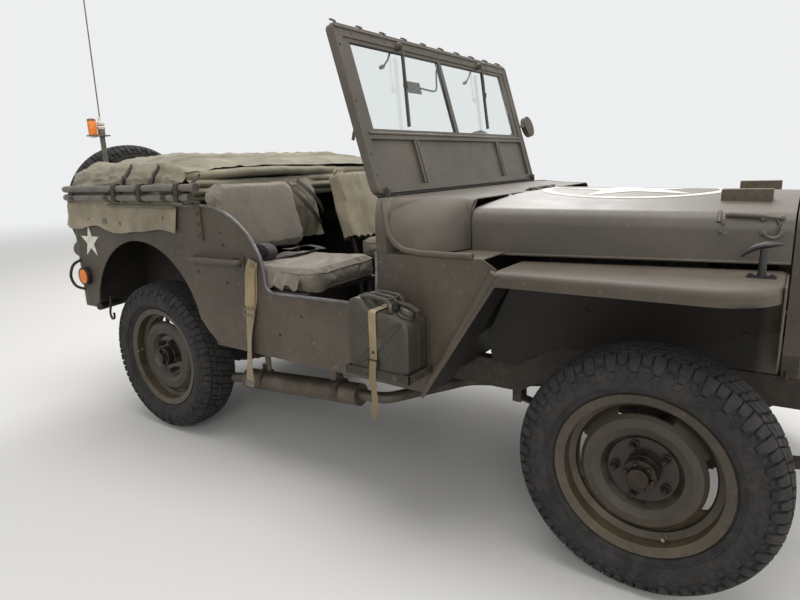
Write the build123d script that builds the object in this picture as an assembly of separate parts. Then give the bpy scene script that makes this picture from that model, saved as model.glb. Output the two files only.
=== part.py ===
from build123d import *
import os
from math import atan2, cos, degrees, radians, sin, sqrt

# Light open army 4x4 car with folding windshield, lifting hood and folded-down canvas top.
# Millimetres. X forward, Y to the car's left, Z up. Pieces are drawn from the middle of the
# wheelbase on the ground and moved by origin_back, so the origin lies under the car's centre.

os.makedirs("parts", exist_ok=True)

# Running gear
wheelbase = 2032.0
track = 1222.0
origin_back = 100.0
seat_gap = 0.3
run_gap = 6.0

tyre_radius = 334.0
tyre_half_width = 88.0
tread_half_width = 72.0
rim_flange_radius = 222.0
rim_seat_radius = 203.0
rim_well_radius = 182.0
rim_half_width = 63.0
rim_wall = 4.0
disc_wall = 5.0
hub_seat_radius = 88.0
hub_seat_plane = 22.0
hub_radius = 42.0
hub_length = 62.0
drum_radius = 121.0
drum_depth = 46.0
spindle_radius = 19.0

axle_height = tyre_radius
axle_tube_radius = 36.0
diff_radius = 128.0
diff_offset = -200.0
diff_half_depth = 92.0
kingpin_side = 502.0
ball_radius = 54.0
ball_gap = 1.0
knuckle_wall = 9.0
brake_plate_radius = 126.0
brake_plate_wall = 5.0

spring_width = 40.0
spring_half_length = 465.0
spring_rise = 50.0
spring_eye_radius = 15.0
hanger_wall = 4.0
leaf_thickness = 7.0
leaf_count = 8

# Frame and bumpers
rail_side = 371.5
rail_width = 48.0
rail_wall = 4.0
spring_side = rail_side - rail_width / 2
rail_low_top = 472.0
rail_high_top = 556.0
rail_rise_rear = 560.0
rail_rise_front = 700.0
rail_depth = 100.0
rail_end_depth = 66.0
frame_front = 1556.0
frame_rear = -1536.0
bumper_front = 1588.0
bumper_half_length = 610.0
bumper_height = 112.0

# Body tub
body_half_width = 724.0
sheet = 4.0
floor_low = rail_low_top + seat_gap
floor_high = rail_high_top + seat_gap
floor_step = -560.0
tub_rear = -1568.0
tub_corner = 80.0
side_rear = tub_rear + tub_corner + 6
tub_top = 1013.0
tub_bottom = 534.0
sill_bottom = 460.0
sill_top = 711.0
door_rear = -250.0
door_front = 245.0
ledge_height = 879.0
arch_centre = -1012.0
arch_height = 483.0
arch_radius = 380.0
well_inner_side = 452.0
well_top = 872.0
well_front = -616.0
well_rear = -1410.0
toe_foot = 410.0
firewall = 478.0
cowl_rear = 170.0
cowl_front = 484.0
cowl_top = 1036.0
cowl_front_top = 1028.0
dash_station = 196.0

# Hood, fenders and grille
hood_rear = 488.0
hood_front = 1286.0
hood_rear_half = 568.0
hood_front_half = 455.0
hood_rear_top = 1030.0
hood_front_top = 1015.0
hood_skirt = 866.0
hood_corner = 44.0
hood_crown = 26.0
hood_sheet = 3.0
block_rear = 1107.0
block_length = 121.0
block_side = 260.0
block_width = 50.0
block_top = 1037.0
fender_top = 849.0
fender_knee = 637.0
fender_foot = 405.0
fender_foot_height = 453.0
fender_front = 1286.0
fender_outer = 745.0
fender_lip = 38.0
fender_slope_lip = 26.0
fender_foot_lip = 6.0
fender_corner = 140.0
fender_edge_radius = 18.0
fender_inset = 12.0
apron_rear = 482.0
apron_foot = 376.0
apron_lean = 0.40
apron_front_depth = 190.0
apron_front_reach = 175.0
grille_rear = 1290.0
grille_depth = 36.0
grille_bottom = rail_high_top + seat_gap
grille_foot_half = 380.0
grille_shoulder = 640.0
slot_count = 9
slot_pitch = 62.0
slot_width = 32.0
slot_bottom = 640.0
slot_top = 962.0
headlamp_side = 366.0
headlamp_height = 872.0
headlamp_radius = 76.0

# Windshield, hinged at its foot
shield_pivot_x = 184.6
shield_pivot_z = 1045.0
shield_lean = 16.5
shield_half = 637.0
shield_height = 548.0
shield_depth = 24.0
sash_low = 200.0
sash_high = 508.0
sash_half = 592.0
pane_low = 212.0
pane_high = 495.0
pane_half = 558.0
pane_post = 12.0
glass_thickness = 5.0

# Cabin
seat_height = 712.0
cushion_thickness = 78.0
seat_back_top = 1090.0
passenger_seat = -497.0
driver_seat = 250.0
seat_width = 400.0
seat_tube = 13.0
seat_rear = -470.0
seat_front = -80.0
column_side = 350.0
wheel_station = -30.0
wheel_height = 1080.0
box_station = 880.0
box_height = 600.0
steering_radius = 200.0
steering_rim = 11.0

# Top, spare and outside fittings
bow_side = body_half_width + 36
bow_radius = 14.0
bow_corner = 120.0
bow_rear = -1555.0
spare_station = -1702.0
spare_side = -290.0
spare_height = 955.0
can_station = 322.0
can_width = 214.0
can_depth = 110.0
can_height = 226.0
can_base = 537.0
can_outer = body_half_width + 11 + can_depth
muffler_side = -575.0
muffler_radius = 41.0
muffler_rear_height = 285.0
muffler_front_height = 328.0

front_axle = wheelbase / 2
rear_axle = -wheelbase / 2
wheel_side = track / 2

# The windshield folds on pins just in front of its foot
hinge_out = shield_depth / 2 + 12
hinge_up = 8.0
hinge_pin = 4.0
hinge_side = 592.0
lean = radians(shield_lean)
fold_x = shield_pivot_x + hinge_out * cos(lean) - hinge_up * sin(lean)
fold_z = shield_pivot_z + hinge_out * sin(lean) + hinge_up * cos(lean)

# The hood's hinge barrel lies on top of the seam
barrel_radius = 5.0
lift_x = hood_rear - 2
lift_z = hood_rear_top + barrel_radius
barrel_pin = 2.6
barrel_reach = 40.0


def save(name, *solids):
    """Writes one piece, moved to the car's origin."""
    moved = [Pos(origin_back, 0, 0) * solid for solid in solids]
    shape = moved[0] if len(moved) == 1 else Compound(children=moved)
    export_step(shape, f"parts/{name}.step")


def across(face, y_from, y_to):
    """A face drawn with x forward and y up, made solid from y_from to y_to."""
    plane = Plane(origin=(0, y_from, 0), x_dir=(1, 0, 0), z_dir=(0, -1, 0))
    return extrude(plane * face, amount=y_from - y_to)


def along(face, x_from, x_to):
    """A face drawn with x to the left and y up, made solid from x_from to x_to."""
    return extrude(Plane.YZ.offset(x_from) * face, amount=x_to - x_from)


def upward(face, z_from, z_to):
    """A face drawn in plan, made solid from z_from to z_to."""
    return extrude(Plane.XY.offset(z_from) * face, amount=z_to - z_from)


def polygon(*points):
    return make_face(Polyline(*points, close=True))


def slab(x_from, x_to, y_from, y_to, z_from, z_to):
    block = Box(x_to - x_from, y_to - y_from, z_to - z_from)
    return Pos((x_from + x_to) / 2, (y_from + y_to) / 2, (z_from + z_to) / 2) * block


def rod(start, end, radius):
    """A round bar between two points."""
    start = Vector(*start)
    end = Vector(*end)
    plane = Plane(origin=start, z_dir=end - start)
    return extrude(plane * Circle(radius), amount=(end - start).length)


def pipe(points, radius, bend):
    """A round bar bent through points with one bend radius."""
    route = FilletPolyline(*points, radius=bend)
    return sweep(Plane(origin=route @ 0, z_dir=route % 0) * Circle(radius), path=route)


def spun(profile, side, height, station, hand):
    """A half section drawn as (distance outboard, radius), turned about a wheel's axis."""
    face = polygon(*[(out, radius) for out, radius in profile])
    solid = revolve(face, Axis.X)
    turned = Rot(0, 0, 90 * hand) * solid
    return Pos(station, side, height) * turned


def mirrored(shape):
    return mirror(shape, Plane.XZ)


# Wheels and tyres. Each half section is a row of (distance outboard, radius).
tyre_section = [
    (-rim_half_width + 6, rim_seat_radius + 0.5),
    (-rim_half_width + 1, rim_flange_radius + 3),
    (-tyre_half_width, 258),
    (-tyre_half_width + 2, 290),
    (-tread_half_width - 2, 322),
    (-tread_half_width + 14, tyre_radius - 2),
    (0, tyre_radius),
    (tread_half_width - 14, tyre_radius - 2),
    (tread_half_width + 2, 322),
    (tyre_half_width - 2, 290),
    (tyre_half_width, 258),
    (rim_half_width - 1, rim_flange_radius + 3),
    (rim_half_width - 6, rim_seat_radius + 0.5),
]

rim_outer_line = [
    (-rim_half_width, rim_flange_radius),
    (-rim_half_width + 5, rim_seat_radius),
    (-24, rim_seat_radius - 2),
    (-16, rim_well_radius),
    (16, rim_well_radius),
    (24, rim_seat_radius - 2),
    (rim_half_width - 5, rim_seat_radius),
    (rim_half_width, rim_flange_radius),
]
rim_inner_line = [
    (rim_half_width + rim_wall, rim_flange_radius - 1),
    (rim_half_width - 3, rim_seat_radius - rim_wall - 2),
    (26, rim_seat_radius - rim_wall - 4),
    (18, rim_well_radius - rim_wall),
    (-18, rim_well_radius - rim_wall),
    (-26, rim_seat_radius - rim_wall - 4),
    (-rim_half_width + 3, rim_seat_radius - rim_wall - 2),
    (-rim_half_width - rim_wall, rim_flange_radius - 1),
]
disc_section = [
    (6, rim_well_radius - 1),
    (24, rim_well_radius - 14),
    (44, 148),
    (48, 126),
    (40, 104),
    (hub_seat_plane, hub_seat_radius),
    (hub_seat_plane, hub_radius + seat_gap),
    (hub_seat_plane - disc_wall, hub_radius + seat_gap),
    (hub_seat_plane - disc_wall, hub_seat_radius + 2),
    (35, 106),
    (43, 126),
    (39, 146),
    (19, rim_well_radius - 18),
    (0, rim_well_radius - 1),
]
# The slots at the disc's edge: distance along the axle and radius of the cutter, and its sweep
disc_slot_section = [(-6, 158), (44, 158), (44, 174), (-6, 174)]
disc_slot_count = 4
disc_slot_sweep = 50.0
drum_face = hub_seat_plane - disc_wall
hub_section = [
    (drum_face, spindle_radius + 0.6),
    (drum_face, drum_radius - 4),
    (drum_face - 6, drum_radius),
    (drum_face - drum_depth, drum_radius),
    (drum_face - drum_depth, drum_radius - 7),
    (drum_face - 9, drum_radius - 7),
    (drum_face - 9, 44),
    (drum_face - drum_depth, 40),
    (drum_face - drum_depth, spindle_radius + 0.6),
]
cap_section = [
    (drum_face, 0),
    (drum_face, hub_radius),
    (drum_face + hub_length - 16, hub_radius),
    (drum_face + hub_length - 16, 30),
    (drum_face + hub_length, 26),
    (drum_face + hub_length, 0),
]


def slotted_disc():
    """The dished disc about the X axis, with its long slots cut through."""
    disc = revolve(polygon(*disc_section), Axis.X)
    cutter = revolve(polygon(*disc_slot_section), Axis.X, revolution_arc=disc_slot_sweep)
    for slot in range(disc_slot_count):
        disc -= Rot(slot * 360 / disc_slot_count - disc_slot_sweep / 2, 0, 0) * cutter
    return disc


def rim_and_disc(side, height, station, hand):
    rim = spun(rim_outer_line + rim_inner_line, side, height, station, hand)
    disc = Pos(station, side, height) * (Rot(0, 0, 90 * hand) * slotted_disc())
    return rim + disc


def hub_and_drum(side, height, station, hand):
    drum = spun(hub_section, side, height, station, hand)
    cap = spun(cap_section, side, height, station, hand)
    return drum + cap


# One row a wheel: name, station, side, hand (+1 outboard to the left)
wheel_table = [
    ("front_left", front_axle, wheel_side, 1),
    ("front_right", front_axle, -wheel_side, -1),
    ("rear_left", rear_axle, wheel_side, 1),
    ("rear_right", rear_axle, -wheel_side, -1),
]
for corner, station, side, hand in wheel_table:
    save(f"tyre_{corner}", spun(tyre_section, side, axle_height, station, hand))
    wheel = rim_and_disc(side, axle_height, station, hand)
    hub = hub_and_drum(side, axle_height, station, hand)
    save(f"wheel_{corner}", wheel + hub)


def flat_spun(profile, station, side, height):
    """A half section of (distance rearward, radius), turned about a lengthwise axis."""
    solid = revolve(polygon(*profile), Axis.X)
    return Pos(station, side, height) * (Rot(0, 0, 180) * solid)


save("spare_tyre", flat_spun(tyre_section, spare_station, spare_side, spare_height))
spare_wheel = flat_spun(rim_outer_line + rim_inner_line, spare_station, spare_side, spare_height)
spare_disc = Pos(spare_station, spare_side, spare_height) * (Rot(0, 0, 180) * slotted_disc())
spare_wheel = spare_wheel + spare_disc
save("spare_wheel", spare_wheel)

# Axles. The differentials sit to the right of the middle.
def banjo(station, side, height):
    bowl = Pos(station, side, height) * Sphere(diff_radius)
    trim = slab(station - diff_half_depth, station + diff_half_depth, side - diff_radius,
                side + diff_radius, height - diff_radius, height + diff_radius)
    return bowl & trim


def brake_plate(station, hand):
    """The fixed plate that closes a brake drum."""
    inner = wheel_side + drum_face - drum_depth - run_gap
    return rod((station, hand * (inner - brake_plate_wall), axle_height),
               (station, hand * inner, axle_height), brake_plate_radius)


def spindle(station, hand, from_side):
    return rod((station, hand * from_side, axle_height),
               (station, hand * (wheel_side + drum_face - run_gap), axle_height), spindle_radius)


plate_inner = wheel_side + drum_face - drum_depth - run_gap - brake_plate_wall
rear_housing = banjo(rear_axle, diff_offset, axle_height)
rear_housing += rod((rear_axle, -plate_inner, axle_height), (rear_axle, plate_inner, axle_height),
                    axle_tube_radius)
pinion_reach = 205.0
pinion_radius = 40.0
rear_housing += rod((rear_axle, diff_offset, axle_height),
                    (rear_axle + pinion_reach, diff_offset, axle_height), pinion_radius)
for hand in (1, -1):
    rear_housing += brake_plate(rear_axle, hand)
    rear_housing += spindle(rear_axle, hand, plate_inner)
save("rear_axle", rear_housing)

front_housing = banjo(front_axle, diff_offset, axle_height)
front_housing += rod((front_axle, -kingpin_side, axle_height),
                     (front_axle, kingpin_side, axle_height), axle_tube_radius)
front_housing += rod((front_axle, diff_offset, axle_height),
                     (front_axle - pinion_reach, diff_offset, axle_height), pinion_radius)
for hand in (1, -1):
    front_housing += Pos(front_axle, hand * kingpin_side, axle_height) * Sphere(ball_radius)
save("front_axle", front_housing)


def knuckle(hand):
    """The swivel housing round the axle's ball, its king pin bosses, arm and spindle."""
    outer_radius = ball_radius + ball_gap + knuckle_wall
    centre = (front_axle, hand * kingpin_side, axle_height)
    shell = Pos(*centre) * (Sphere(outer_radius) - Sphere(ball_radius + ball_gap))
    reach = outer_radius + 1
    outward = slab(front_axle - reach, front_axle + reach, -14, reach,
                   axle_height - reach, axle_height + reach)
    outward = Pos(0, kingpin_side, 0) * outward
    if hand < 0:
        outward = mirrored(outward)
    shell = shell & outward
    boss_low = sqrt(outer_radius ** 2 - 24 ** 2) - 4
    for up in (1, -1):
        foot = axle_height + up * boss_low
        shell += rod((front_axle, hand * kingpin_side, foot),
                     (front_axle, hand * kingpin_side, foot + up * 18), 24)
    shell += rod((front_axle, hand * (kingpin_side + outer_radius - 6), axle_height),
                 (front_axle, hand * plate_inner, axle_height), 44)
    shell += brake_plate(front_axle, hand)
    shell += spindle(front_axle, hand, plate_inner)
    arm_height = axle_height - 40
    arm = slab(front_axle - 190, front_axle - 50, kingpin_side - 26, kingpin_side + 2,
               arm_height - 8, arm_height + 8)
    arm = arm if hand > 0 else mirrored(arm)
    return shell + arm


save("knuckle_left", knuckle(1))
save("knuckle_right", knuckle(-1))


spring_eye_height = axle_height - axle_tube_radius - seat_gap + spring_rise - 3


# Leaf springs: stacked leaves, the longest on top, hung from the rails by their eyes.
def spring(station):
    body = None
    seat = axle_height - axle_tube_radius - seat_gap
    for leaf in range(leaf_count):
        reach = spring_half_length * (1 - 0.8 * leaf / leaf_count)
        rise = spring_rise * (reach / spring_half_length) ** 2
        top = seat - leaf * leaf_thickness
        upper = ThreePointArc((-reach, top + rise), (0, top), (reach, top + rise))
        low = top - leaf_thickness
        lower = ThreePointArc((-reach, low + rise), (0, low), (reach, low + rise))
        ends = [Line(upper @ 0, lower @ 0), Line(upper @ 1, lower @ 1)]
        strip = across(make_face([upper, lower] + ends), spring_width / 2, -spring_width / 2)
        body = strip if body is None else body + strip
    for end in (-1, 1):
        body += rod((end * spring_half_length, -spring_width / 2, spring_eye_height),
                    (end * spring_half_length, spring_width / 2, spring_eye_height), spring_eye_radius)
    return Pos(station, 0, 0) * body


spring_set = []
for station in (front_axle, rear_axle):
    for hand in (1, -1):
        spring_set.append(Pos(0, hand * spring_side, 0) * spring(station))
save("springs", *spring_set)

# Frame: two channel rails that rise over both axles, and the cross members between them.
rail_line = [
    (frame_rear, rail_high_top - 4, rail_end_depth),
    (-1200, rail_high_top, rail_depth - 12),
    (floor_step - 140, rail_high_top, rail_depth - 6),
    (floor_step - 4, rail_low_top, rail_depth),
    (rail_rise_rear, rail_low_top, rail_depth),
    (rail_rise_front, rail_high_top, rail_depth - 6),
    (1330, rail_high_top, rail_depth - 16),
    (frame_front, rail_high_top - 16, rail_end_depth),
]
rail_outline = [(x, top) for x, top, depth in rail_line]
rail_outline += [(x, top - depth) for x, top, depth in reversed(rail_line)]
pocket_outline = [(x, top - rail_wall) for x, top, depth in rail_line]
pocket_outline += [(x, top - depth + rail_wall) for x, top, depth in reversed(rail_line)]
rail = across(polygon(*rail_outline), rail_side, rail_side - rail_width)
rail -= across(polygon(*pocket_outline), rail_side - rail_wall, rail_side - rail_width)
frame = rail + mirrored(rail)
inner = rail_side - rail_wall


def rail_bottom(station):
    """Height of the rail's lower edge at a station."""
    for (x0, top0, depth0), (x1, top1, depth1) in zip(rail_line, rail_line[1:]):
        if x0 <= station <= x1:
            share = (station - x0) / (x1 - x0)
            return (1 - share) * (top0 - depth0) + share * (top1 - depth1)
    return rail_low_top - rail_depth


# Spring hangers: two cheeks round each eye, hung from the rail
for station in (front_axle, rear_axle):
    for end in (-1, 1):
        eye = station + end * spring_half_length
        for side in (rail_side - rail_width, rail_side - hanger_wall):
            for hand in (1, -1):
                cheek = slab(eye - 16, eye + 16, side, side + hanger_wall,
                             spring_eye_height - 12, rail_bottom(eye) + rail_wall + 4)
                frame += cheek if hand > 0 else mirrored(cheek)
frame += rod((1330, -inner, 508), (1330, inner, 508), 30)
# Cross members: station from, station to, low, high
cross_table = [
    (frame_rear + 6, frame_rear + 50, 490, 546),
    (-760, -710, 492, 546),
    (60, 110, 336, rail_low_top - rail_depth),
    (1190, 1230, 480, 520),
]
for x_from, x_to, low, high in cross_table:
    member = slab(x_from, x_to, -inner, inner, low, high)
    member -= slab(x_from + rail_wall, x_to - rail_wall, -inner, inner, low - 1, high - rail_wall)
    frame += member
save("frame", frame)

bumper_low = rail_high_top - 16 - rail_end_depth / 2 - bumper_height / 2
bumper = slab(frame_front + seat_gap, bumper_front, -bumper_half_length, bumper_half_length,
              bumper_low, bumper_low + bumper_height)
bumper -= slab(frame_front, bumper_front - rail_wall, -bumper_half_length - 1,
               bumper_half_length + 1, bumper_low + rail_wall, bumper_low + bumper_height - rail_wall)
for hand in (1, -1):
    backing = slab(frame_front + seat_gap, bumper_front - 1, hand * spring_side - 24, hand * spring_side + 24,
                   bumper_low + 1, bumper_low + bumper_height - 1)
    bumper += backing
save("front_bumper", bumper)

bumperette_height = 504.0
rear_guards = []
for hand in (1, -1):
    outer_end = 640
    guard = pipe([(frame_rear - seat_gap, hand * 352, bumperette_height),
                  (frame_rear - 52, hand * 352, bumperette_height),
                  (frame_rear - 62, hand * 470, bumperette_height),
                  (frame_rear - 18, hand * outer_end, bumperette_height)], 20, 20)
    rear_guards.append(guard)
# Towing plate with its pin hole, and the flange that bolts it to the rear cross member
hitch_height = 520.0
hitch_station = -1596.0
hitch_thickness = 16.0
hitch_half_width = 34.0
hitch_hole_radius = 14.0
hitch_face = frame_rear + 6 - seat_gap
hitch = slab(hitch_station, hitch_face, -hitch_half_width, hitch_half_width,
             hitch_height - hitch_thickness / 2, hitch_height + hitch_thickness / 2)
hitch += rod((hitch_station, 0, hitch_height - hitch_thickness / 2),
             (hitch_station, 0, hitch_height + hitch_thickness / 2), hitch_half_width)
hitch += slab(hitch_face - 8, hitch_face, -60, 60, hitch_height - 26, hitch_height + 22)
hitch -= rod((hitch_station, 0, hitch_height - hitch_thickness),
             (hitch_station, 0, hitch_height + hitch_thickness), hitch_hole_radius)
rear_guards.append(hitch)
save("rear_guards", *rear_guards)


def fender_edge(height):
    """Station where the body side meets the fender's slope at a height."""
    share = (height - fender_foot_height) / (fender_top - fender_foot_height)
    return fender_foot + share * (fender_knee - fender_foot) - 1.2 * seat_gap


# Body side with the swept door cut-out and the rear wheel arch
arch_foot = arch_height + 88
arch_reach = 372.0
door_sweep = [
    Line((side_rear, tub_bottom), (side_rear, tub_top)),
    Line((side_rear, tub_top), (-545, tub_top)),
    ThreePointArc((-545, tub_top), (-362, 948), (-268, 840)),
    ThreePointArc((-268, 840), (-254, 792), (door_rear, 748)),
    ThreePointArc((door_rear, 748), (-240, 722), (-214, sill_top)),
    Line((-214, sill_top), (door_front - 50, sill_top)),
    ThreePointArc((door_front - 50, sill_top), (door_front - 18, 724), (door_front - 4, 757)),
    Line((door_front - 4, 757), (door_front, 830)),
    Line((door_front, 830), (door_front, ledge_height)),
    Line((door_front, ledge_height), (600, ledge_height)),
    Line((600, ledge_height), (fender_edge(854), 854)),
    Line((fender_edge(854), 854), (fender_edge(sill_bottom), sill_bottom)),
    Line((fender_edge(sill_bottom), sill_bottom), (-532, 474)),
    Line((-532, 474), (-601, 528)),
    Line((-601, 528), (arch_centre + arch_reach, arch_foot)),
    ThreePointArc((arch_centre + arch_reach, arch_foot), (arch_centre, arch_height + arch_radius),
                  (arch_centre - arch_reach, arch_foot)),
    Line((arch_centre - arch_reach, arch_foot), (arch_centre - arch_reach - 40, tub_bottom)),
    Line((arch_centre - arch_reach - 40, tub_bottom), (side_rear, tub_bottom)),
]
side_face = make_face(door_sweep)
side_left = across(side_face, body_half_width, body_half_width - sheet)
save("body_sides", side_left, mirrored(side_left))

# Rear panel, its corners turned forward to meet the sides
def rear_line(inset):
    radius = tub_corner - inset
    half = body_half_width - inset
    rear = tub_rear + inset
    turn = radius * (1 - cos(radians(45)))
    start = side_rear - seat_gap
    return [
        Line((start, -half), (rear + radius, -half)),
        ThreePointArc((rear + radius, -half), (rear + turn, -half + turn), (rear, -half + radius)),
        Line((rear, -half + radius), (rear, half - radius)),
        ThreePointArc((rear, half - radius), (rear + turn, half - turn), (rear + radius, half)),
        Line((rear + radius, half), (start, half)),
    ]


def rear_block(inset):
    lines = rear_line(inset)
    return upward(make_face(lines + [Line(lines[-1] @ 1, lines[0] @ 0)]), tub_bottom, tub_top)


rear_panel = rear_block(0) - rear_block(sheet)
save("rear_panel", rear_panel)

# Tub floor, wheel wells, toe board, firewall and gearbox tunnel
inside = body_half_width - sheet - seat_gap
rear_inside = tub_rear + sheet + seat_gap
tunnel_half = 150.0
tunnel_front_top = 664.0
tunnel_rear_top = 500.0
tunnel_rear = -70.0
floor_path = [
    (rear_inside, floor_high),
    (floor_step, floor_high),
    (floor_step, floor_low),
    (toe_foot, floor_low),
    (firewall, 598),
    (firewall, cowl_top - 40),
]
upper_path = [
    (firewall - sheet, cowl_top - 40),
    (firewall - sheet, 600),
    (toe_foot - 2, floor_low + sheet),
    (floor_step + sheet, floor_low + sheet),
    (floor_step + sheet, floor_high + sheet),
    (rear_inside, floor_high + sheet),
]
floor = across(polygon(*(floor_path + upper_path)), inside, -inside)
# The rear corners of the floor follow the rear panel
corner_cut = upward(polygon((rear_inside - 1, inside - 92), (rear_inside - 1, inside + 1),
                            (rear_inside + 92, inside + 1)), floor_high - 1, floor_high + sheet + 1)
floor -= corner_cut
floor -= mirrored(corner_cut)
# Above the ledge the firewall is as narrow as the cowl
for hand in (1, -1):
    narrow = slab(firewall - 60, firewall + 1, 552, inside + 1, ledge_height - 6, cowl_top)
    floor -= narrow if hand > 0 else mirrored(narrow)
for hand in (1, -1):
    well_space = slab(well_rear, well_front, well_inner_side, inside + 1, floor_high - 1, well_top)
    well_shell = slab(well_rear - sheet, well_front + sheet, well_inner_side - sheet, inside,
                      floor_high, well_top + sheet)
    if hand < 0:
        well_space = mirrored(well_space)
        well_shell = mirrored(well_shell)
    floor = floor + well_shell - well_space


def tunnel_solid(grow):
    front = Plane.YZ.offset(firewall + 1) * polygon(
        (-tunnel_half - grow, floor_low - 1), (-tunnel_half + 30 - grow, tunnel_front_top + grow),
        (tunnel_half - 30 + grow, tunnel_front_top + grow), (tunnel_half + grow, floor_low - 1))
    rear = Plane.YZ.offset(tunnel_rear) * polygon(
        (-tunnel_half + 20 - grow, floor_low - 1), (-tunnel_half + 50 - grow, tunnel_rear_top + grow),
        (tunnel_half - 50 + grow, tunnel_rear_top + grow), (tunnel_half - 20 + grow, floor_low - 1))
    return loft([rear, front])


tunnel_keep = slab(tunnel_rear - 1, firewall, -tunnel_half - 10, tunnel_half + 10, floor_low, 900)
floor = floor + (tunnel_solid(sheet) & tunnel_keep) - tunnel_solid(0)

# The steering column passes the firewall and the dash with clearance
column_top = (wheel_station, column_side, wheel_height)
column_foot = (box_station, column_side, box_height)
column_hole = rod(column_top, column_foot, 34)
floor -= column_hole
save("tub_floor", floor)


# Cowl: a shell of cross sections, each row a station, half width, corner radius and top
def cowl_section(station, half, corner, crest, inset):
    half = half - inset
    top = crest - inset
    foot = ledge_height + seat_gap
    corner = min(corner - inset, top - foot - 1)
    turn = corner * (1 - cos(radians(45)))
    lines = [
        Line((-half, foot), (-half, top - corner)),
        ThreePointArc((-half, top - corner), (-half + turn, top - turn), (-half + corner, top)),
        Line((-half + corner, top), (half - corner, top)),
        ThreePointArc((half - corner, top), (half - turn, top - turn), (half, top - corner)),
        Line((half, top - corner), (half, foot)),
        Line((half, foot), (-half, foot)),
    ]
    return Plane.YZ.offset(station) * make_face(lines)


cowl_neck = 356.0
cowl_neck_half = hood_rear_half + 38
cowl_table = [
    (cowl_rear, body_half_width, 96, cowl_top),
    (282, body_half_width - 2, 92, cowl_top),
    (cowl_neck, cowl_neck_half, 70, (cowl_top + cowl_front_top) / 2),
    (cowl_front, hood_rear_half, 44, cowl_front_top),
]
cowl_parts = []
for rear_row, front_row in zip(cowl_table, cowl_table[1:]):
    skin = loft([cowl_section(*rear_row, 0), cowl_section(*front_row, 0)])
    hollow = loft([cowl_section(*rear_row, hood_sheet), cowl_section(*front_row, hood_sheet)])
    cowl_parts.append(skin - hollow)
cowl = cowl_parts[0] + cowl_parts[1] + cowl_parts[2]
beyond = body_half_width + hood_corner
corner_cut = upward(polygon((cowl_rear - 1, cowl_neck_half - 16), (door_front, body_half_width + 0.5),
                            (door_front, beyond), (cowl_rear - 1, beyond)),
                    ledge_height - 20, cowl_top + 5)
cowl -= corner_cut
cowl -= mirrored(corner_cut)
ledge_side = body_half_width - sheet - seat_gap
ledge_inner = hood_rear_half + run_gap
ledge_outline = polygon((300, ledge_side), (cowl_neck, cowl_neck_half - 2), (cowl_front, hood_rear_half - 2),
                        (cowl_front, ledge_inner), (600, ledge_inner), (600, ledge_side))
ledge = upward(ledge_outline, ledge_height - hood_sheet, ledge_height + seat_gap)
cowl += ledge
cowl += mirrored(ledge)
# Windshield hinge lugs and the fixed barrels of the hood hinge
for hand in (1, -1):
    lug = slab(fold_x - 9, fold_x + 9, hinge_side + 2, hinge_side + 10, cowl_top - 2, fold_z)
    lug += rod((fold_x, hinge_side + 2, fold_z), (fold_x, hinge_side + 10, fold_z), 9)
    lug -= rod((fold_x, hinge_side, fold_z), (fold_x, hinge_side + 12, fold_z), hinge_pin + 0.1)
    cowl += lug if hand > 0 else mirrored(lug)


def barrel(low, high, radius):
    return rod((lift_x, low, lift_z), (lift_x, high, lift_z), radius)


for low, high in ((-barrel_reach, barrel_reach), (2 * barrel_reach + 2, 3 * barrel_reach),
                  (-3 * barrel_reach, -2 * barrel_reach - 2)):
    leaf = slab(lift_x - 16, lift_x - 3, low, high, cowl_front_top - 1, lift_z - 1)
    cowl += barrel(low, high, barrel_radius) + leaf
cowl += barrel(-3 * barrel_reach, 3 * barrel_reach, barrel_pin)
save("cowl", cowl)

dash_half = 628.0
dash_low = 905.0
dash_face = make_face([
    Line((-dash_half, dash_low), (dash_half, dash_low)),
    Line((dash_half, dash_low), (dash_half, 1000)),
    Line((dash_half, 1000), (dash_half - 40, cowl_top - hood_sheet - seat_gap)),
    Line((dash_half - 40, cowl_top - hood_sheet - seat_gap),
         (-dash_half + 40, cowl_top - hood_sheet - seat_gap)),
    Line((-dash_half + 40, cowl_top - hood_sheet - seat_gap), (-dash_half, 1000)),
    Line((-dash_half, 1000), (-dash_half, dash_low)),
])
dash = along(dash_face, dash_station, dash_station + hood_sheet) - column_hole
save("dash", dash)


# Hood: a crowned shell that tapers forward, open below
def hood_section(station, half, top, inset):
    half = half - inset
    crest = top - inset
    corner = hood_corner - inset
    shoulder = crest - hood_crown
    turn = corner * (1 - cos(radians(45)))
    lines = [
        Line((-half, hood_skirt), (-half, shoulder - corner)),
        ThreePointArc((-half, shoulder - corner), (-half + turn, shoulder - turn),
                      (-half + corner, shoulder)),
        ThreePointArc((-half + corner, shoulder), (0, crest), (half - corner, shoulder)),
        ThreePointArc((half - corner, shoulder), (half - turn, shoulder - turn),
                      (half, shoulder - corner)),
        Line((half, shoulder - corner), (half, hood_skirt)),
        Line((half, hood_skirt), (-half, hood_skirt)),
    ]
    return Plane.YZ.offset(station) * make_face(lines)


hood_skin = loft([hood_section(hood_rear, hood_rear_half, hood_rear_top, 0),
                  hood_section(hood_front, hood_front_half, hood_front_top, 0)])
hood_hollow = loft([hood_section(hood_rear, hood_rear_half, hood_rear_top, hood_sheet),
                    hood_section(hood_front, hood_front_half, hood_front_top, hood_sheet)])
hood = hood_skin - hood_hollow
for hand in (1, -1):
    low = barrel_reach + 1
    high = 2 * barrel_reach + 1
    moving = barrel(low, high, barrel_radius) - barrel(low - 1, high + 1, barrel_pin + 0.1)
    moving += slab(lift_x + 3, lift_x + 16, low, high, hood_rear_top - 2, lift_z - 1)
    hood += moving if hand > 0 else mirrored(moving)
save("hood", hood)

blocks = []
for hand in (1, -1):
    block = slab(block_rear, block_rear + block_length, hand * block_side - block_width / 2,
                 hand * block_side + block_width / 2, hood_front_top - 30, block_top)
    blocks.append(block - hood_skin)
save("hood_blocks", *blocks)


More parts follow.
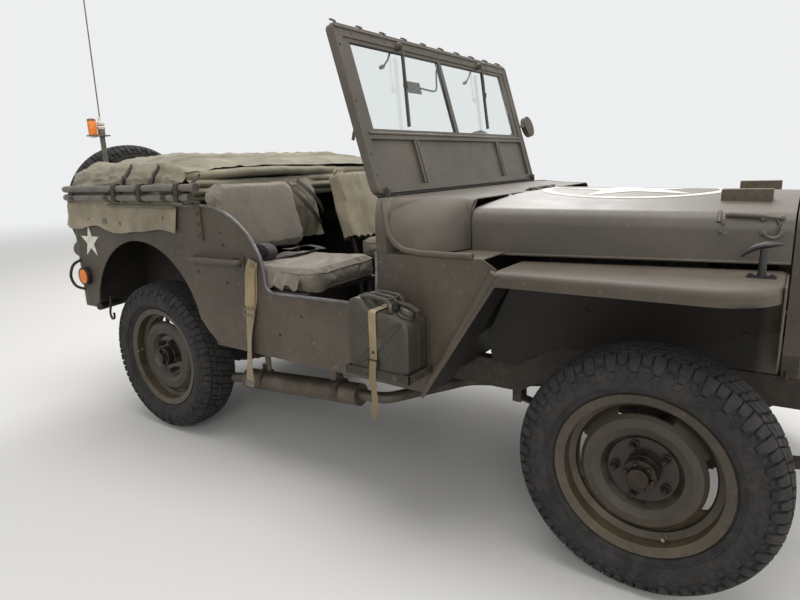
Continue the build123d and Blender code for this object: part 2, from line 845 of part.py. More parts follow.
# Fender: a tray with a rolled lip, flat over the wheel and sloping down to the sill
slope_run = fender_knee - fender_foot
slope_rise = fender_top - fender_foot_height
slope_length = sqrt(slope_run ** 2 + slope_rise ** 2)
slope_forward = slope_rise / slope_length
slope_down = slope_run / slope_length


def fender_line(flat_offset, knee_offset, foot_offset):
    """The fender's side line, set in by its own distance on the flat, at the knee and at the foot."""
    foot = (fender_foot + foot_offset * slope_forward, fender_foot_height - foot_offset * slope_down)
    slope_low = fender_foot_height - knee_offset * slope_down
    knee_run = (fender_top - flat_offset - slope_low) * slope_run / slope_rise
    knee = (fender_foot + knee_offset * slope_forward + knee_run, fender_top - flat_offset)
    return [foot, knee, (fender_front + 5, fender_top - flat_offset)]


def fender_profile(drop, spare):
    """The band under the fender's line, from drop below it down to its lip and the spare depth."""
    low = fender_line(fender_lip + spare, fender_slope_lip + spare, fender_foot_lip + spare)
    return polygon(*(fender_line(drop, drop, drop) + list(reversed(low))))


def fender_height(station):
    """Height of the fender's slope at a station behind the knee."""
    return fender_foot_height + (station - fender_foot) * slope_rise / slope_run


def fender_plan(inset):
    outer = fender_outer - inset
    front = fender_front - inset
    radius = fender_corner - inset
    turn = radius * (1 - cos(radians(45)))
    rear_inner = hood_rear_half - fender_inset
    front_inner = hood_front_half - fender_inset
    lines = [
        Line((fender_foot - 60, rear_inner), (hood_rear, rear_inner)),
        Line((hood_rear, rear_inner), (front, front_inner)),
        Line((front, front_inner), (front, outer - radius)),
        ThreePointArc((front, outer - radius), (front - turn, outer - turn), (front - radius, outer)),
        Line((front - radius, outer), (fender_foot - 60, outer)),
        Line((fender_foot - 60, outer), (fender_foot - 60, rear_inner)),
    ]
    return make_face(lines)


def rolled(shape, inset):
    """Rounds the top edge along the fender's outer side and front."""
    side = fender_outer - fender_corner / 2
    front = fender_front - fender_corner / 2
    crest = [edge for edge in shape.edges() if edge.center().Z > fender_top - inset - 1
             and (edge.center().Y > side or edge.center().X > front)]
    return fillet(crest, fender_edge_radius - inset)


def apron_left():
    """Inner apron under the fender's inner edge. It leans in to clear the steered wheel, then stands on
    the frame rail's side."""
    inner_run = fender_front - hood_rear
    inner_drift = hood_rear_half - hood_front_half
    top = fender_top - hood_sheet
    front = fender_front - hood_sheet
    rear_side = hood_rear_half - fender_inset + (hood_rear - apron_rear) * inner_drift / inner_run
    course = Vector(front - apron_rear, -(front - apron_rear) * inner_drift / inner_run, 0)
    foot_side = rear_side - apron_lean * (top - rail_low_top)

    def swept(*corners):
        return extrude(Plane.YZ.offset(apron_rear) * polygon(*corners), amount=course.length, dir=course)

    slant = swept((rear_side, top), (rear_side + hood_sheet, top), (foot_side + hood_sheet, rail_low_top),
                  (foot_side, rail_low_top))
    slant = slant & slab(apron_rear, front, apron_foot, hood_rear_half + hood_sheet, rail_low_top, top)
    engine_bay = swept((rear_side, top), (foot_side, rail_low_top), (0, rail_low_top), (0, top))
    web = slab(apron_rear, front, apron_foot, apron_foot + hood_sheet, rail_low_top, top) - engine_bay
    apron_high = rail_high_top + run_gap
    apron_low = rail_low_top + run_gap
    outline = polygon((apron_rear, apron_low), (apron_rear, fender_height(apron_rear) - hood_sheet),
                      (fender_knee, top), (front, top), (front, apron_high), (rail_rise_front, apron_high),
                      (rail_rise_rear, apron_low))
    return (slant + web) & across(outline, hood_rear_half + hood_sheet, apron_foot)


def fender_left():
    beyond = fender_outer + 5
    low = fender_foot_height - 2 * fender_lip
    inner = hood_front_half - 2 * fender_inset
    band = across(fender_profile(0, 0), beyond, inner) & upward(fender_plan(0), low, fender_top + 5)
    core_plan = upward(fender_plan(hood_sheet), low, fender_top + 5) + slab(
        fender_foot - fender_lip, fender_front - hood_sheet, inner,
        fender_outer - hood_sheet - fender_corner, low, fender_top + 5)
    core = across(fender_profile(hood_sheet, fender_lip), beyond, inner) & core_plan
    tray = rolled(band, 0) - rolled(core, hood_sheet)
    apron_front = fender_front - hood_sheet
    apron_top = fender_top - hood_sheet
    front_outline = polygon((apron_front, apron_top - apron_front_depth),
                            (fender_front, apron_top - apron_front_depth), (fender_front, apron_top),
                            (apron_front, apron_top))
    front_inner = hood_front_half + 18
    front_apron = across(front_outline, front_inner + apron_front_reach, front_inner)
    return tray + apron_left() + front_apron


left_fender = fender_left()
save("fenders", left_fender, mirrored(left_fender))


# Grille: a pressed slab with nine slots, lamp openings and a turned-back edge
def grille_face(inset):
    half = hood_front_half - inset
    foot = grille_foot_half - inset
    crest = hood_front_top - inset
    corner = hood_corner - inset
    shoulder = crest - hood_crown
    turn = corner * (1 - cos(radians(45)))
    low = grille_bottom + inset
    lines = [
        Line((-foot, low), (-half, grille_shoulder)),
        Line((-half, grille_shoulder), (-half, shoulder - corner)),
        ThreePointArc((-half, shoulder - corner), (-half + turn, shoulder - turn),
                      (-half + corner, shoulder)),
        ThreePointArc((-half + corner, shoulder), (0, crest), (half - corner, shoulder)),
        ThreePointArc((half - corner, shoulder), (half - turn, shoulder - turn),
                      (half, shoulder - corner)),
        Line((half, shoulder - corner), (half, grille_shoulder)),
        Line((half, grille_shoulder), (foot, low)),
        Line((foot, low), (-foot, low)),
    ]
    return make_face(lines)


grille_front = grille_rear + grille_depth
grille = along(grille_face(0), grille_rear, grille_front)
grille -= along(grille_face(hood_sheet), grille_rear, grille_front - hood_sheet)
for slot in range(slot_count):
    slot_side = (slot - (slot_count - 1) / 2) * slot_pitch
    opening = Pos(slot_side, (slot_bottom + slot_top) / 2) * SlotOverall(
        slot_top - slot_bottom, slot_width, rotation=90)
    grille -= along(opening, grille_rear, grille_front + 1)
marker_height = 716.0
marker_radius = 27.0
for hand in (1, -1):
    lamp_hole = Pos(hand * headlamp_side, headlamp_height) * Circle(headlamp_radius + seat_gap)
    marker_hole = Pos(hand * headlamp_side, marker_height) * Circle(marker_radius + seat_gap)
    grille -= along(lamp_hole, grille_rear, grille_front + 1)
    grille -= along(marker_hole, grille_rear, grille_front + 1)
save("grille", grille)

# Lamps: each row a section of (distance forward, radius)
head_section = [(0, 0), (8, 40), (34, 64), (62, headlamp_radius), (74, headlamp_radius),
                (80, headlamp_radius - 7), (88, 40), (91, 0)]
marker_section = [(0, 0), (0, 20), (26, marker_radius), (34, marker_radius), (42, 14), (43, 0)]


def lamp_forward(section, station, side, height, turn=0):
    return Pos(station, side, height) * (Rot(0, 0, turn) * revolve(polygon(*section), Axis.X))


lamps = []
tail_section = [(0, 0), (0, 30), (12, 42), (58, 42), (64, 36), (66, 0)]
reflector_section = [(0, 0), (0, 40), (12, 40), (20, 30), (24, 0)]
tail_side = 640.0
tail_height = 790.0
reflector_station = side_rear + 32
reflector_height = 682.0
for hand in (1, -1):
    head_station = grille_front - 74
    lamps.append(lamp_forward(head_section, head_station, hand * headlamp_side, headlamp_height))
    lamps.append(lamp_forward(marker_section, grille_front - 34, hand * headlamp_side, marker_height))
    lamps.append(lamp_forward(tail_section, tub_rear - seat_gap, hand * tail_side, tail_height, 180))
    lamps.append(Pos(reflector_station, hand * (body_half_width + seat_gap), reflector_height) * (
        Rot(0, 0, 90 * hand) * revolve(polygon(*reflector_section), Axis.X)))
save("lamps", *lamps)

# Radiator, engine block, gearbox and shafts
radiator_tank_top = hood_front_top - 32
radiator = slab(1216, 1268, -268, 268, 580, radiator_tank_top - 20)
radiator += slab(1206, 1274, -262, 262, radiator_tank_top - 52, radiator_tank_top)
for hand in (1, -1):
    radiator += slab(1216, 1228, hand * 215 - 18, hand * 215 + 18, 520 + seat_gap, 590)
save("radiator", radiator)

engine = slab(560, 1070, -112, 112, 520, 800)
engine += slab(570, 1060, -128, 128, 800, 850)
engine += slab(580, 900, -96, 96, 420, 520)
engine += rod((500, 0, 590), (562, 0, 590), 150)
engine += rod((1070, 0, 700), (1112, 0, 700), 60)
engine += rod((1112, 0, 700), (1124, 0, 700), 190)
save("engine", engine)

gearbox = slab(150, 242, -88, 88, 430, 545)
gearbox += slab(240, 500 - seat_gap, -88, 88, 430, 575)
gearbox += slab(-60, 152, -230, 90, 372 + seat_gap, 464)
save("gearbox", gearbox)

shaft_radius = 24.0
shaft_end = 2.8
shafts = [
    rod((152 + shaft_end, diff_offset, 400), (front_axle - pinion_reach - shaft_end, diff_offset,
                                              axle_height), shaft_radius),
    rod((-60 - shaft_end, diff_offset, 400), (rear_axle + pinion_reach + shaft_end, diff_offset,
                                             axle_height), shaft_radius),
]
save("shafts", *shafts)

# Exhaust: muffler under the right sill
muffler_rear = (-563, muffler_side, muffler_rear_height)
muffler_front = (36, muffler_side, muffler_front_height)
exhaust_radius = 20.0
exhaust = rod(muffler_rear, muffler_front, muffler_radius)
exhaust += rod((-640, muffler_side - 16, muffler_rear_height - 6),
               (-560, muffler_side, muffler_rear_height), exhaust_radius)
exhaust += pipe([(30, muffler_side, muffler_front_height), (150, muffler_side, muffler_front_height + 8),
                 (320, -278, muffler_front_height + 10), (640, -270, 390), (700, -150, 560)],
                exhaust_radius, 60)
for station in (-440, -90):
    exhaust += slab(station - 14, station + 14, muffler_side - 3, muffler_side + 3, 310, floor_low)
exhaust -= slab(560, 1070, -112, 112, 520, 800)
save("exhaust", exhaust)


# Windshield, drawn upright in its own plane: x to the left, y up the slope, then leaned back
def leaned(shape):
    upright = Pos(shield_pivot_x, 0, shield_pivot_z) * (Rot(0, -shield_lean, 0) * shape)
    return upright


def pane_slab(face, thickness):
    return extrude(Plane.YZ.offset(-thickness / 2) * face, amount=thickness)


def panel_rect(half, low, high):
    return Pos(0, (low + high) / 2) * Rectangle(2 * half, high - low)


outer_frame = Pos(0, shield_height / 2) * RectangleRounded(2 * shield_half, shield_height, 26)
shield = pane_slab(outer_frame, shield_depth)
shield -= pane_slab(panel_rect(sash_half, sash_low, sash_high), shield_depth + 2)
for face_side in (1, -1):
    pocket = pane_slab(panel_rect(sash_half, 22, sash_low - 22), shield_depth)
    shield -= Pos(face_side * (shield_depth / 2 + hood_sheet / 2), 0, 0) * pocket
for hand in (1, -1):
    rib = slab(-9, 9, hand * 330 - 8, hand * 330 + 8, 20, sash_low - 20)
    shield += rib
for hand in (1, -1):
    tab = slab(shield_depth / 2 - 1, hinge_out + hinge_pin + 2, hinge_side - 8, hinge_side, 1, hinge_up + 7)
    tab += rod((hinge_out, hinge_side - 4, hinge_up), (hinge_out, hinge_side + 12, hinge_up), hinge_pin)
    shield += tab if hand > 0 else mirrored(tab)
save("windshield_frame", leaned(shield))

sash_face = panel_rect(sash_half - seat_gap, sash_low + seat_gap, sash_high - seat_gap)
panes = []
sash_holes = []
for hand in (1, -1):
    middle = hand * (pane_post + pane_half) / 2
    sash_holes.append(Pos(middle, (pane_low + pane_high) / 2) * Rectangle(
        pane_half - pane_post, pane_high - pane_low))
    panes.append(Pos(middle, (pane_low + pane_high) / 2) * Rectangle(
        pane_half - pane_post - 2 * seat_gap, pane_high - pane_low - 2 * seat_gap))
sash = pane_slab(sash_face - sash_holes[0] - sash_holes[1], 16)
save("windshield_sash", leaned(sash))
save("windshield_glass", *[leaned(pane_slab(p, glass_thickness)) for p in panes])

# Steering column and wheel
column_vector = Vector(*column_foot) - Vector(*column_top)
column_plane = Plane(origin=Vector(*column_top), z_dir=column_vector)
column_length = column_vector.length
column = extrude(column_plane.offset(13.6) * Circle(20), amount=column_length - 13.6)
column += slab(box_station - 40, box_station + 70, column_side - 30, column_side + 24,
               rail_high_top + seat_gap, box_height + 30)
save("steering_column", column)

ring = Torus(steering_radius, steering_rim)
hub_boss = Pos(0, 0, 12) * Cylinder(32, 26)
spokes = None
for angle in (90, 210, 330):
    spoke = Rot(0, 0, angle) * rod((20, 0, 6), (steering_radius, 0, 0), 6)
    spokes = spoke if spokes is None else spokes + spoke
steering_wheel = column_plane * (Pos(0, 0, -12) * (ring + hub_boss + spokes))
save("steering_wheel", steering_wheel)

# Seats: tube frames, cushions and backs
def seat_frame(centre):
    half = seat_width / 2
    pan = slab(seat_rear, seat_front, centre - half, centre + half, seat_height - 10, seat_height)
    foot = floor_low + sheet + seat_gap
    for x in (seat_rear + 20, tunnel_rear - 30):
        for side in (-1, 1):
            pan += rod((x, centre + side * (half - 20), foot), (x, centre + side * (half - 20),
                                                               seat_height - 5), seat_tube)
    back = pipe([(seat_rear + 8, centre - half + 20, seat_height - 5),
                 (seat_rear - 90, centre - half + 20, seat_back_top - 20),
                 (seat_rear - 90, centre + half - 20, seat_back_top - 20),
                 (seat_rear + 8, centre + half - 20, seat_height - 5)], seat_tube, 60)
    return pan + back


save("seat_frames", seat_frame(passenger_seat), seat_frame(driver_seat))


def cushion_pair(centre):
    half = seat_width / 2
    cushion = slab(seat_rear + 20, seat_front + 20, centre - half, centre + half,
                   seat_height + seat_gap, seat_height + cushion_thickness)
    cushion = fillet(cushion.edges(), 24)
    back = Box(60, seat_width + 10, seat_back_top - seat_height - 110)
    back = fillet(back.edges(), 22)
    run = 98
    rise = seat_back_top - seat_height - 15
    slope = sqrt(run ** 2 + rise ** 2)
    height = (seat_back_top + seat_height + 110) / 2
    off = seat_tube + 30 + seat_gap
    x = seat_rear + 8 - run * (height - seat_height + 5) / rise + off * rise / slope
    back = Pos(x, centre, height + off * run / slope) * (Rot(0, -degrees(atan2(run, rise)), 0) * back)
    return cushion, back


passenger_cushion, passenger_back = cushion_pair(passenger_seat)
driver_cushion, driver_back = cushion_pair(driver_seat)
save("cushions", passenger_cushion, passenger_back, driver_cushion, driver_back)

tank = slab(-440, -84, driver_seat - 165, driver_seat + 165, floor_low + sheet + seat_gap, seat_height - 50)
tank = fillet(tank.edges().filter_by(Axis.Z), 40)
save("fuel_tank", tank)

# Folded top: bows laid along the body, canvas folded over the load space, straps
# Bow rows: front station, height
bow_table = [(-574, 1045), (-538, 1081)]
bows = []
for bow_front, height in bow_table:
    bows.append(pipe([(bow_front, -bow_side, height), (bow_rear, -bow_side, height),
                      (bow_rear, bow_side, height), (bow_front, bow_side, height)],
                     bow_radius, bow_corner))
save("top_bows", *bows)

canvas_gap = 8.0
canvas_half = bow_side - bow_radius - canvas_gap
canvas_rear = bow_rear + bow_radius + 6
canvas_crest = -1150.0
canvas_front = -650.0
canvas_rear_top = 1150.0
canvas_crest_top = 1180.0
canvas_front_top = 1120.0
canvas_rise = 70.0
canvas_corner = 90.0


def canvas_section(station, top, half):
    foot = tub_top + seat_gap
    lines = [
        Line((-half, foot), (-half, top - canvas_rise)),
        ThreePointArc((-half, top - canvas_rise), (0, top), (half, top - canvas_rise)),
        Line((half, top - canvas_rise), (half, foot)),
        Line((half, foot), (-half, foot)),
    ]
    return Plane.YZ.offset(station) * make_face(lines)


canvas = loft([canvas_section(canvas_rear, canvas_rear_top, canvas_half),
               canvas_section(canvas_crest, canvas_crest_top, canvas_half)])
canvas += loft([canvas_section(canvas_crest, canvas_crest_top, canvas_half),
                canvas_section(canvas_front, canvas_front_top, canvas_half)])
rear_edges = canvas.edges().filter_by(Axis.Z).group_by(Axis.X)[0]
canvas = fillet(rear_edges, canvas_corner)
save("top_canvas", canvas)

strap_loops = []
for station in (-640, -800, -930):
    low = bow_table[0][1] - bow_radius - seat_gap
    high = bow_table[1][1] + bow_radius + seat_gap
    reach = bow_radius + seat_gap
    for hand in (1, -1):
        loop = slab(station - 14, station + 14, bow_side - reach - 3, bow_side + reach + 3, low - 3, high + 3)
        loop -= slab(station - 15, station + 15, bow_side - reach, bow_side + reach, low, high)
        strap_loops.append(loop if hand > 0 else mirrored(loop))
save("bow_straps", *strap_loops)

# Jerrycan on the right cowl side
can_box = slab(can_station - can_width / 2, can_station + can_width / 2, -can_outer, -can_outer + can_depth,
               can_base, can_base + can_height)
can_box = fillet(can_box.edges().filter_by(Axis.Z), 26)
can_box = fillet(can_box.edges().group_by(Axis.Z)[-1], 14)
grip = pipe([(can_station - 60, -can_outer + can_depth / 2, can_base + can_height - 4),
             (can_station - 60, -can_outer + can_depth / 2, can_base + can_height + 24),
             (can_station + 40, -can_outer + can_depth / 2, can_base + can_height + 24),
             (can_station + 40, -can_outer + can_depth / 2, can_base + can_height - 4)], 6, 12)
save("jerrycan", can_box + grip)

# Antenna post, base and whip at the rear right, with a marker lamp beside it
mast_x = tub_rear - 20
mast_y = -480.0
mast_top = 1330.0
antenna = rod((mast_x, mast_y, 800), (mast_x, mast_y, mast_top), 12)
antenna += slab(mast_x - 30, mast_x + 30, mast_y - 62, mast_y + 26, mast_top - 6, mast_top)
antenna += rod((mast_x, mast_y, mast_top), (mast_x, mast_y, mast_top + 60), 16)
whip_length = 960.0
antenna += rod((mast_x, mast_y, mast_top + 55), (mast_x - 24, mast_y + 24, mast_top + 55 + whip_length), 3)
antenna += rod((mast_x, mast_y - 44, mast_top), (mast_x, mast_y - 44, mast_top + 74), 19)
for clamp_height in (840, 960):
    antenna += slab(tub_rear - 40, tub_rear - seat_gap, mast_y - 22, mast_y + 22,
                    clamp_height - 12, clamp_height + 12)
save("antenna", antenna)

# Outside fittings: handles, bow brackets, spare carrier, can tray
handle_rear = -643.0
handle_front = -348.0
handle_height = 811.0
handle_out = body_half_width + 40
fittings = []
for hand in (1, -1):
    side_face_y = body_half_width + seat_gap
    grip = pipe([(handle_rear + 10, hand * side_face_y, handle_height),
                 (handle_rear + 10, hand * (handle_out - 12), handle_height),
                 (handle_front - 20, hand * (handle_out - 12), handle_height),
                 (handle_front - 20, hand * side_face_y, handle_height)], 12, 16)
    plate = slab(handle_front - 60, handle_front, side_face_y, side_face_y + 6,
                 handle_height - 26, handle_height + 26)
    fittings.append(grip + (plate if hand > 0 else mirrored(plate)))
    bracket = slab(-596, -564, side_face_y, side_face_y + 8, 885, 1028)
    saddle_top = bow_table[0][1] - bow_radius - seat_gap
    bracket += slab(-596, -564, side_face_y, bow_side + bow_radius, saddle_top - 6, saddle_top)
    fittings.append(bracket if hand > 0 else mirrored(bracket))
spare_face = spare_station - hub_seat_plane + disc_wall
carrier = rod((tub_rear - seat_gap, spare_side, spare_height),
              (spare_face + 8, spare_side, spare_height), 40)
carrier += rod((spare_face + 8, spare_side, spare_height), (spare_face + seat_gap, spare_side,
                                                            spare_height), hub_seat_radius - 6)
fittings.append(carrier)
tray = slab(can_station - can_width / 2 - 4, can_station + can_width / 2 + 4, -can_outer - 3,
            -body_half_width - seat_gap, can_base - 4, can_base - seat_gap)
tray += slab(can_station - can_width / 2, can_station + can_width / 2, -body_half_width - 8,
             -body_half_width - seat_gap, can_base - 4, can_base + 150)
fittings.append(tray)
save("body_fittings", *fittings)

# Mirror on the left windshield post
mirror_height = 262.0
arm_end = 764.0
head = rod((-10, arm_end, mirror_height), (10, arm_end, mirror_height), 50)
arm = rod((0, shield_half + seat_gap, mirror_height), (0, arm_end - 30, mirror_height), 7)
save("mirror", leaned(head + arm))
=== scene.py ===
import bpy, bmesh
from math import atan2, cos, pi, radians, sin, sqrt
from mathutils import Matrix, Vector, noise


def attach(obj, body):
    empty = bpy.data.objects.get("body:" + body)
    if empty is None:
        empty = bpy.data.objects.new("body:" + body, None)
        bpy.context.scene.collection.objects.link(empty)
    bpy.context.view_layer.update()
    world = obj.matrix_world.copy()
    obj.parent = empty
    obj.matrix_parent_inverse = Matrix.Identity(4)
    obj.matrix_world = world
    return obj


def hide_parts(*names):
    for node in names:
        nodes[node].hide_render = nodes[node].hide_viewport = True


# Open army 4x4 car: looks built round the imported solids. Metres, X forward, Y left, Z up.
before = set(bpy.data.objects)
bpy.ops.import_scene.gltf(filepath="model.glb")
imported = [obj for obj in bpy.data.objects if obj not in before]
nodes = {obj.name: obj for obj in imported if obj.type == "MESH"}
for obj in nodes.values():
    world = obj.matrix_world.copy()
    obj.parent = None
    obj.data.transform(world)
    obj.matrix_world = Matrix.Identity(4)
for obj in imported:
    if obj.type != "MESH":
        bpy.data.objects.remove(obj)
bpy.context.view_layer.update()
mm = 0.001
tyreRadius = 334  # mm
axleHeight = tyreRadius * mm
# where the road wheels' middles are, and which way each faces; then the spare's
hubs = {"front_left": (1.116, 0.611, 1), "front_right": (1.116, -0.611, -1),
        "rear_left": (-0.916, 0.611, 1), "rear_right": (-0.916, -0.611, -1)}
spareHub = (-1.602, -0.290, 0.955)


# small tools
def linear(hexColour):
    # sRGB hex to the linear values that the shaders take
    channels = [int(hexColour[i:i + 2], 16) / 255 for i in (0, 2, 4)]
    return [c / 12.92 if c <= 0.04045 else ((c + 0.055) / 1.055) ** 2.4 for c in channels] + [1.0]


def addNode(tree, kind, settings, output=0):
    # one shader node and the output to use: a setting is an attribute, a ramp's stops, a value,
    # a hex colour, or an output of another node, which is linked
    node = tree.nodes.new("ShaderNode" + kind)
    for key, value in settings.items():
        if key == "stops":
            stops = node.color_ramp.elements
            while len(stops) < len(value):
                stops.new(0.5)
            for stop, (place, colour) in zip(stops, value):
                stop.position = place
                stop.color = linear(colour) if isinstance(colour, str) else [colour] * 3 + [1]
        elif isinstance(value, bpy.types.NodeSocket):
            tree.links.new(value, node.inputs[key])
        elif isinstance(key, str) and hasattr(node, key):
            setattr(node, key, value)
        else:
            node.inputs[key].default_value = linear(value) if isinstance(value, str) else value
    return node.outputs[output]


def newMaterial(name, sockets=None):
    # a new material with its tree, its shader and the row frame, so that patterns have real sizes
    material = bpy.data.materials.new(name)
    material.use_nodes = True
    tree = material.node_tree
    shader = tree.nodes["Principled BSDF"]
    for key, value in (sockets or {}).items():
        shader.inputs[key].default_value = value
    return material, tree, shader, addNode(tree, "TexCoord", {}, "Object")


def finished(surface, colour, relief, depth, strength):
    # a surface takes its colour, and a relief that is depth mm deep
    material, tree, shader, spot = surface
    bump = addNode(tree, "Bump", {"Strength": strength, "Distance": depth * mm, "Height": relief})
    tree.links.new(colour, shader.inputs["Base Color"])
    tree.links.new(bump, shader.inputs["Normal"])
    return material


def drift(x, y, z):
    # smooth noise between -1 and 1
    return noise.noise(Vector((x, y, z)))


def clamp(value):
    return max(0, min(1, value))


# materials. A noise of scale 600 / size has lumps about size mm across: rows of size, detail and roughness
def enamel(name, base, dark, pale, dust, dustTop=0.75, rough=0.58, wear=1.0):
    # matt olive enamel brushed on steel: patchy, dusty low down, worn to primer and rust on edges
    surface = material, tree, shader, spot = newMaterial(name)
    drawn = addNode(tree, "Mapping", {"Scale": (5, 5, 0.6), "Vector": spot})
    streaks, patches, splash, clouds, grain, fine, tones, dull, marks, waves = (
        addNode(tree, "TexNoise", {"Scale": 600 / size, "Detail": detail, "Roughness": rag, "Vector": place})
        for size, detail, rag, place in (
            (100, 5, 0.7, drawn), (220, 7, 0.62, spot), (35, 8, 0.72, spot), (50, 8, 0.7, spot), (14, 6, 0.7, spot),
            (7, 3, 0.5, spot), (12, 4, 0.6, spot), (50, 6, 0.6, spot), (4, 4, 0.6, spot), (300, 2, 0.6, spot)))
    facing, pointed = (addNode(tree, "NewGeometry", {}, way) for way in ("Normal", "Pointiness"))
    height, upward = (addNode(tree, "SeparateXYZ", {"Vector": way}, "Z") for way in (spot, facing))
    paint, runs, splashed, flat, cloudy, sharp, broken, spots, rust = (
        addNode(tree, "ValToRGB", {"stops": stops, "Fac": source}) for source, stops in (
            (patches, ((0.3, dark), (0.5, base), (0.72, pale))), (streaks, ((0.48, 0.0), (0.8, 0.3))),
            (splash, ((0.35, 0.1), (0.7, 1.0))), (upward, ((0.55, 0.0), (0.98, 0.42))),
            (clouds, ((0.3, 0.35), (0.7, 1.0))), (pointed, ((0.52, 0.0), (0.6, 0.8))),
            (grain, ((0.52, 0.0), (0.66, wear))), (fine, ((0.825, 0.0), (0.85, 0.32 * wear))),
            (tones, ((0.35, "3c2c20"), (0.6, "6a5340"), (0.8, "8b8577")))))
    low = addNode(tree, "MapRange", {"From Min": dustTop, "From Max": 0.15, "To Min": 0.0, "To Max": 0.7,
                                     "Value": height})
    # runs down the sides, dust low down and on what faces up, then chips and spots down to primer and rust
    dusty, settled, chips = (addNode(tree, "Math", {"operation": "MULTIPLY", 0: first, 1: second})
                             for first, second in ((low, splashed), (flat, cloudy), (sharp, broken)))
    bare = addNode(tree, "Math", {"operation": "MAXIMUM", 0: chips, 1: spots})
    for share, over in ((runs, dark), (dusty, dust), (settled, dust), (bare, rust)):
        paint = addNode(tree, "Mix", {"data_type": "RGBA", 0: share, 6: paint, 7: over}, 2)
    gloss = addNode(tree, "MapRange", {"To Min": rough - 0.12, "To Max": rough + 0.2, "Value": dull})
    tree.links.new(gloss, shader.inputs["Roughness"])
    # brush marks on sheet metal that isn't quite flat
    tall = addNode(tree, "Math", {"operation": "MULTIPLY", 0: waves, 1: 6.0})
    return finished(surface, paint, addNode(tree, "Math", {"operation": "ADD", 0: marks, 1: tall}), 0.6, 0.35)


def paintedShadeInside(material, dark, half, top, rear, front):
    # painted shade between the side skins: wheel houses, fender aprons and floor darkened as if unlit
    tree = material.node_tree
    shader = tree.nodes["Principled BSDF"]
    spot = addNode(tree, "TexCoord", {}, "Object")
    x, y, z = (addNode(tree, "SeparateXYZ", {"Vector": spot}, axis) for axis in ("X", "Y", "Z"))
    aside = addNode(tree, "Math", {"operation": "ABSOLUTE", 0: y})
    share = addNode(tree, "MapRange", {"From Min": half, "From Max": half - 0.012, "To Min": 0.0, "To Max": 0.93,
                                       "Value": aside})
    for place, edge, over in ((z, top, -0.010), (x, front, -0.02), (x, rear, 0.010)):
        within = addNode(tree, "MapRange", {"From Min": edge, "From Max": edge + over, "Value": place})
        share = addNode(tree, "Math", {"operation": "MULTIPLY", 0: share, 1: within})
    source = shader.inputs["Base Color"].links[0].from_socket
    colour = addNode(tree, "Mix", {"data_type": "RGBA", 0: share, 6: source, 7: dark}, 2)
    tree.links.new(colour, shader.inputs["Base Color"])


def greasedAndShaded(material, hubX, hubZ):
    # grease thrown out round a hub, wet and nearly black, widened over the disc's bowl as painted shade, fading into
    # the paint
    tree = material.node_tree
    shader = tree.nodes["Principled BSDF"]
    spot = addNode(tree, "TexCoord", {}, "Object")
    squares = []
    for axis, middle in (("X", hubX), ("Z", hubZ)):
        place = addNode(tree, "SeparateXYZ", {"Vector": spot}, axis)
        off = addNode(tree, "Math", {"operation": "SUBTRACT", 0: place, 1: middle})
        squares.append(addNode(tree, "Math", {"operation": "POWER", 0: off, 1: 2.0}))
    squared = addNode(tree, "Math", {"operation": "ADD", 0: squares[0], 1: squares[1]})
    reach = addNode(tree, "Math", {"operation": "SQRT", 0: squared})
    rags = addNode(tree, "TexNoise", {"Scale": 600 / 30, "Detail": 6, "Roughness": 0.7, "Vector": spot})
    raggedness = addNode(tree, "Math", {"operation": "MULTIPLY", 0: rags, 1: 0.07})
    torn = addNode(tree, "Math", {"operation": "ADD", 0: reach, 1: raggedness})
    # the black reaches past the grease into the disc's bowl: painted shade
    thick = addNode(tree, "MapRange", {"From Min": 0.118, "From Max": 0.155, "To Min": 0.92, "To Max": 0.0,
                                       "Value": torn})
    film = addNode(tree, "MapRange", {"From Min": 0.15, "From Max": 0.22, "To Min": 0.45, "To Max": 0.0,
                                      "Value": torn})
    share = addNode(tree, "Math", {"operation": "MAXIMUM", 0: thick, 1: film})
    source = shader.inputs["Base Color"].links[0].from_socket
    colour = addNode(tree, "Mix", {"data_type": "RGBA", 0: share, 6: source, 7: "15110d"}, 2)
    tree.links.new(colour, shader.inputs["Base Color"])
    wet = addNode(tree, "Math", {"operation": "MULTIPLY", 0: thick, 1: 0.25})
    rough = shader.inputs["Roughness"].links[0].from_socket
    tree.links.new(addNode(tree, "Math", {"operation": "SUBTRACT", 0: rough, 1: wet}), shader.inputs["Roughness"])
    return material


def rubberMaterial():
    # vulcanised tread rubber: matt grey black, brown road dust held in the grooves
    surface = material, tree, shader, spot = newMaterial("tyreRubber", {"Roughness": 0.86, "Specular IOR Level": 0.35})
    tones, clouds, pores = (
        addNode(tree, "TexNoise", {"Scale": 600 / size, "Detail": detail, "Roughness": rag, "Vector": spot})
        for size, detail, rag in ((30, 6, 0.6), (20, 7, 0.7), (1.6, 3, 0.6)))
    pointed = addNode(tree, "NewGeometry", {}, "Pointiness")
    grey, film, cavity = (addNode(tree, "ValToRGB", {"stops": stops, "Fac": source}) for source, stops in (
        (tones, ((0.3, "1d1d1e"), (0.7, "2b2a2b"))), (clouds, ((0.42, 0.05), (0.78, 0.5))),
        (pointed, ((0.4, 1.0), (0.5, 0.0)))))
    dirt = addNode(tree, "Math", {"operation": "MULTIPLY", 0: cavity, 1: 0.6})
    dusty = addNode(tree, "Math", {"operation": "MAXIMUM", 0: dirt, 1: film})
    colour = addNode(tree, "Mix", {"data_type": "RGBA", 0: dusty, 6: grey, 7: "55504a"}, 2)
    return finished(surface, colour, pores, 0.3, 0.5)


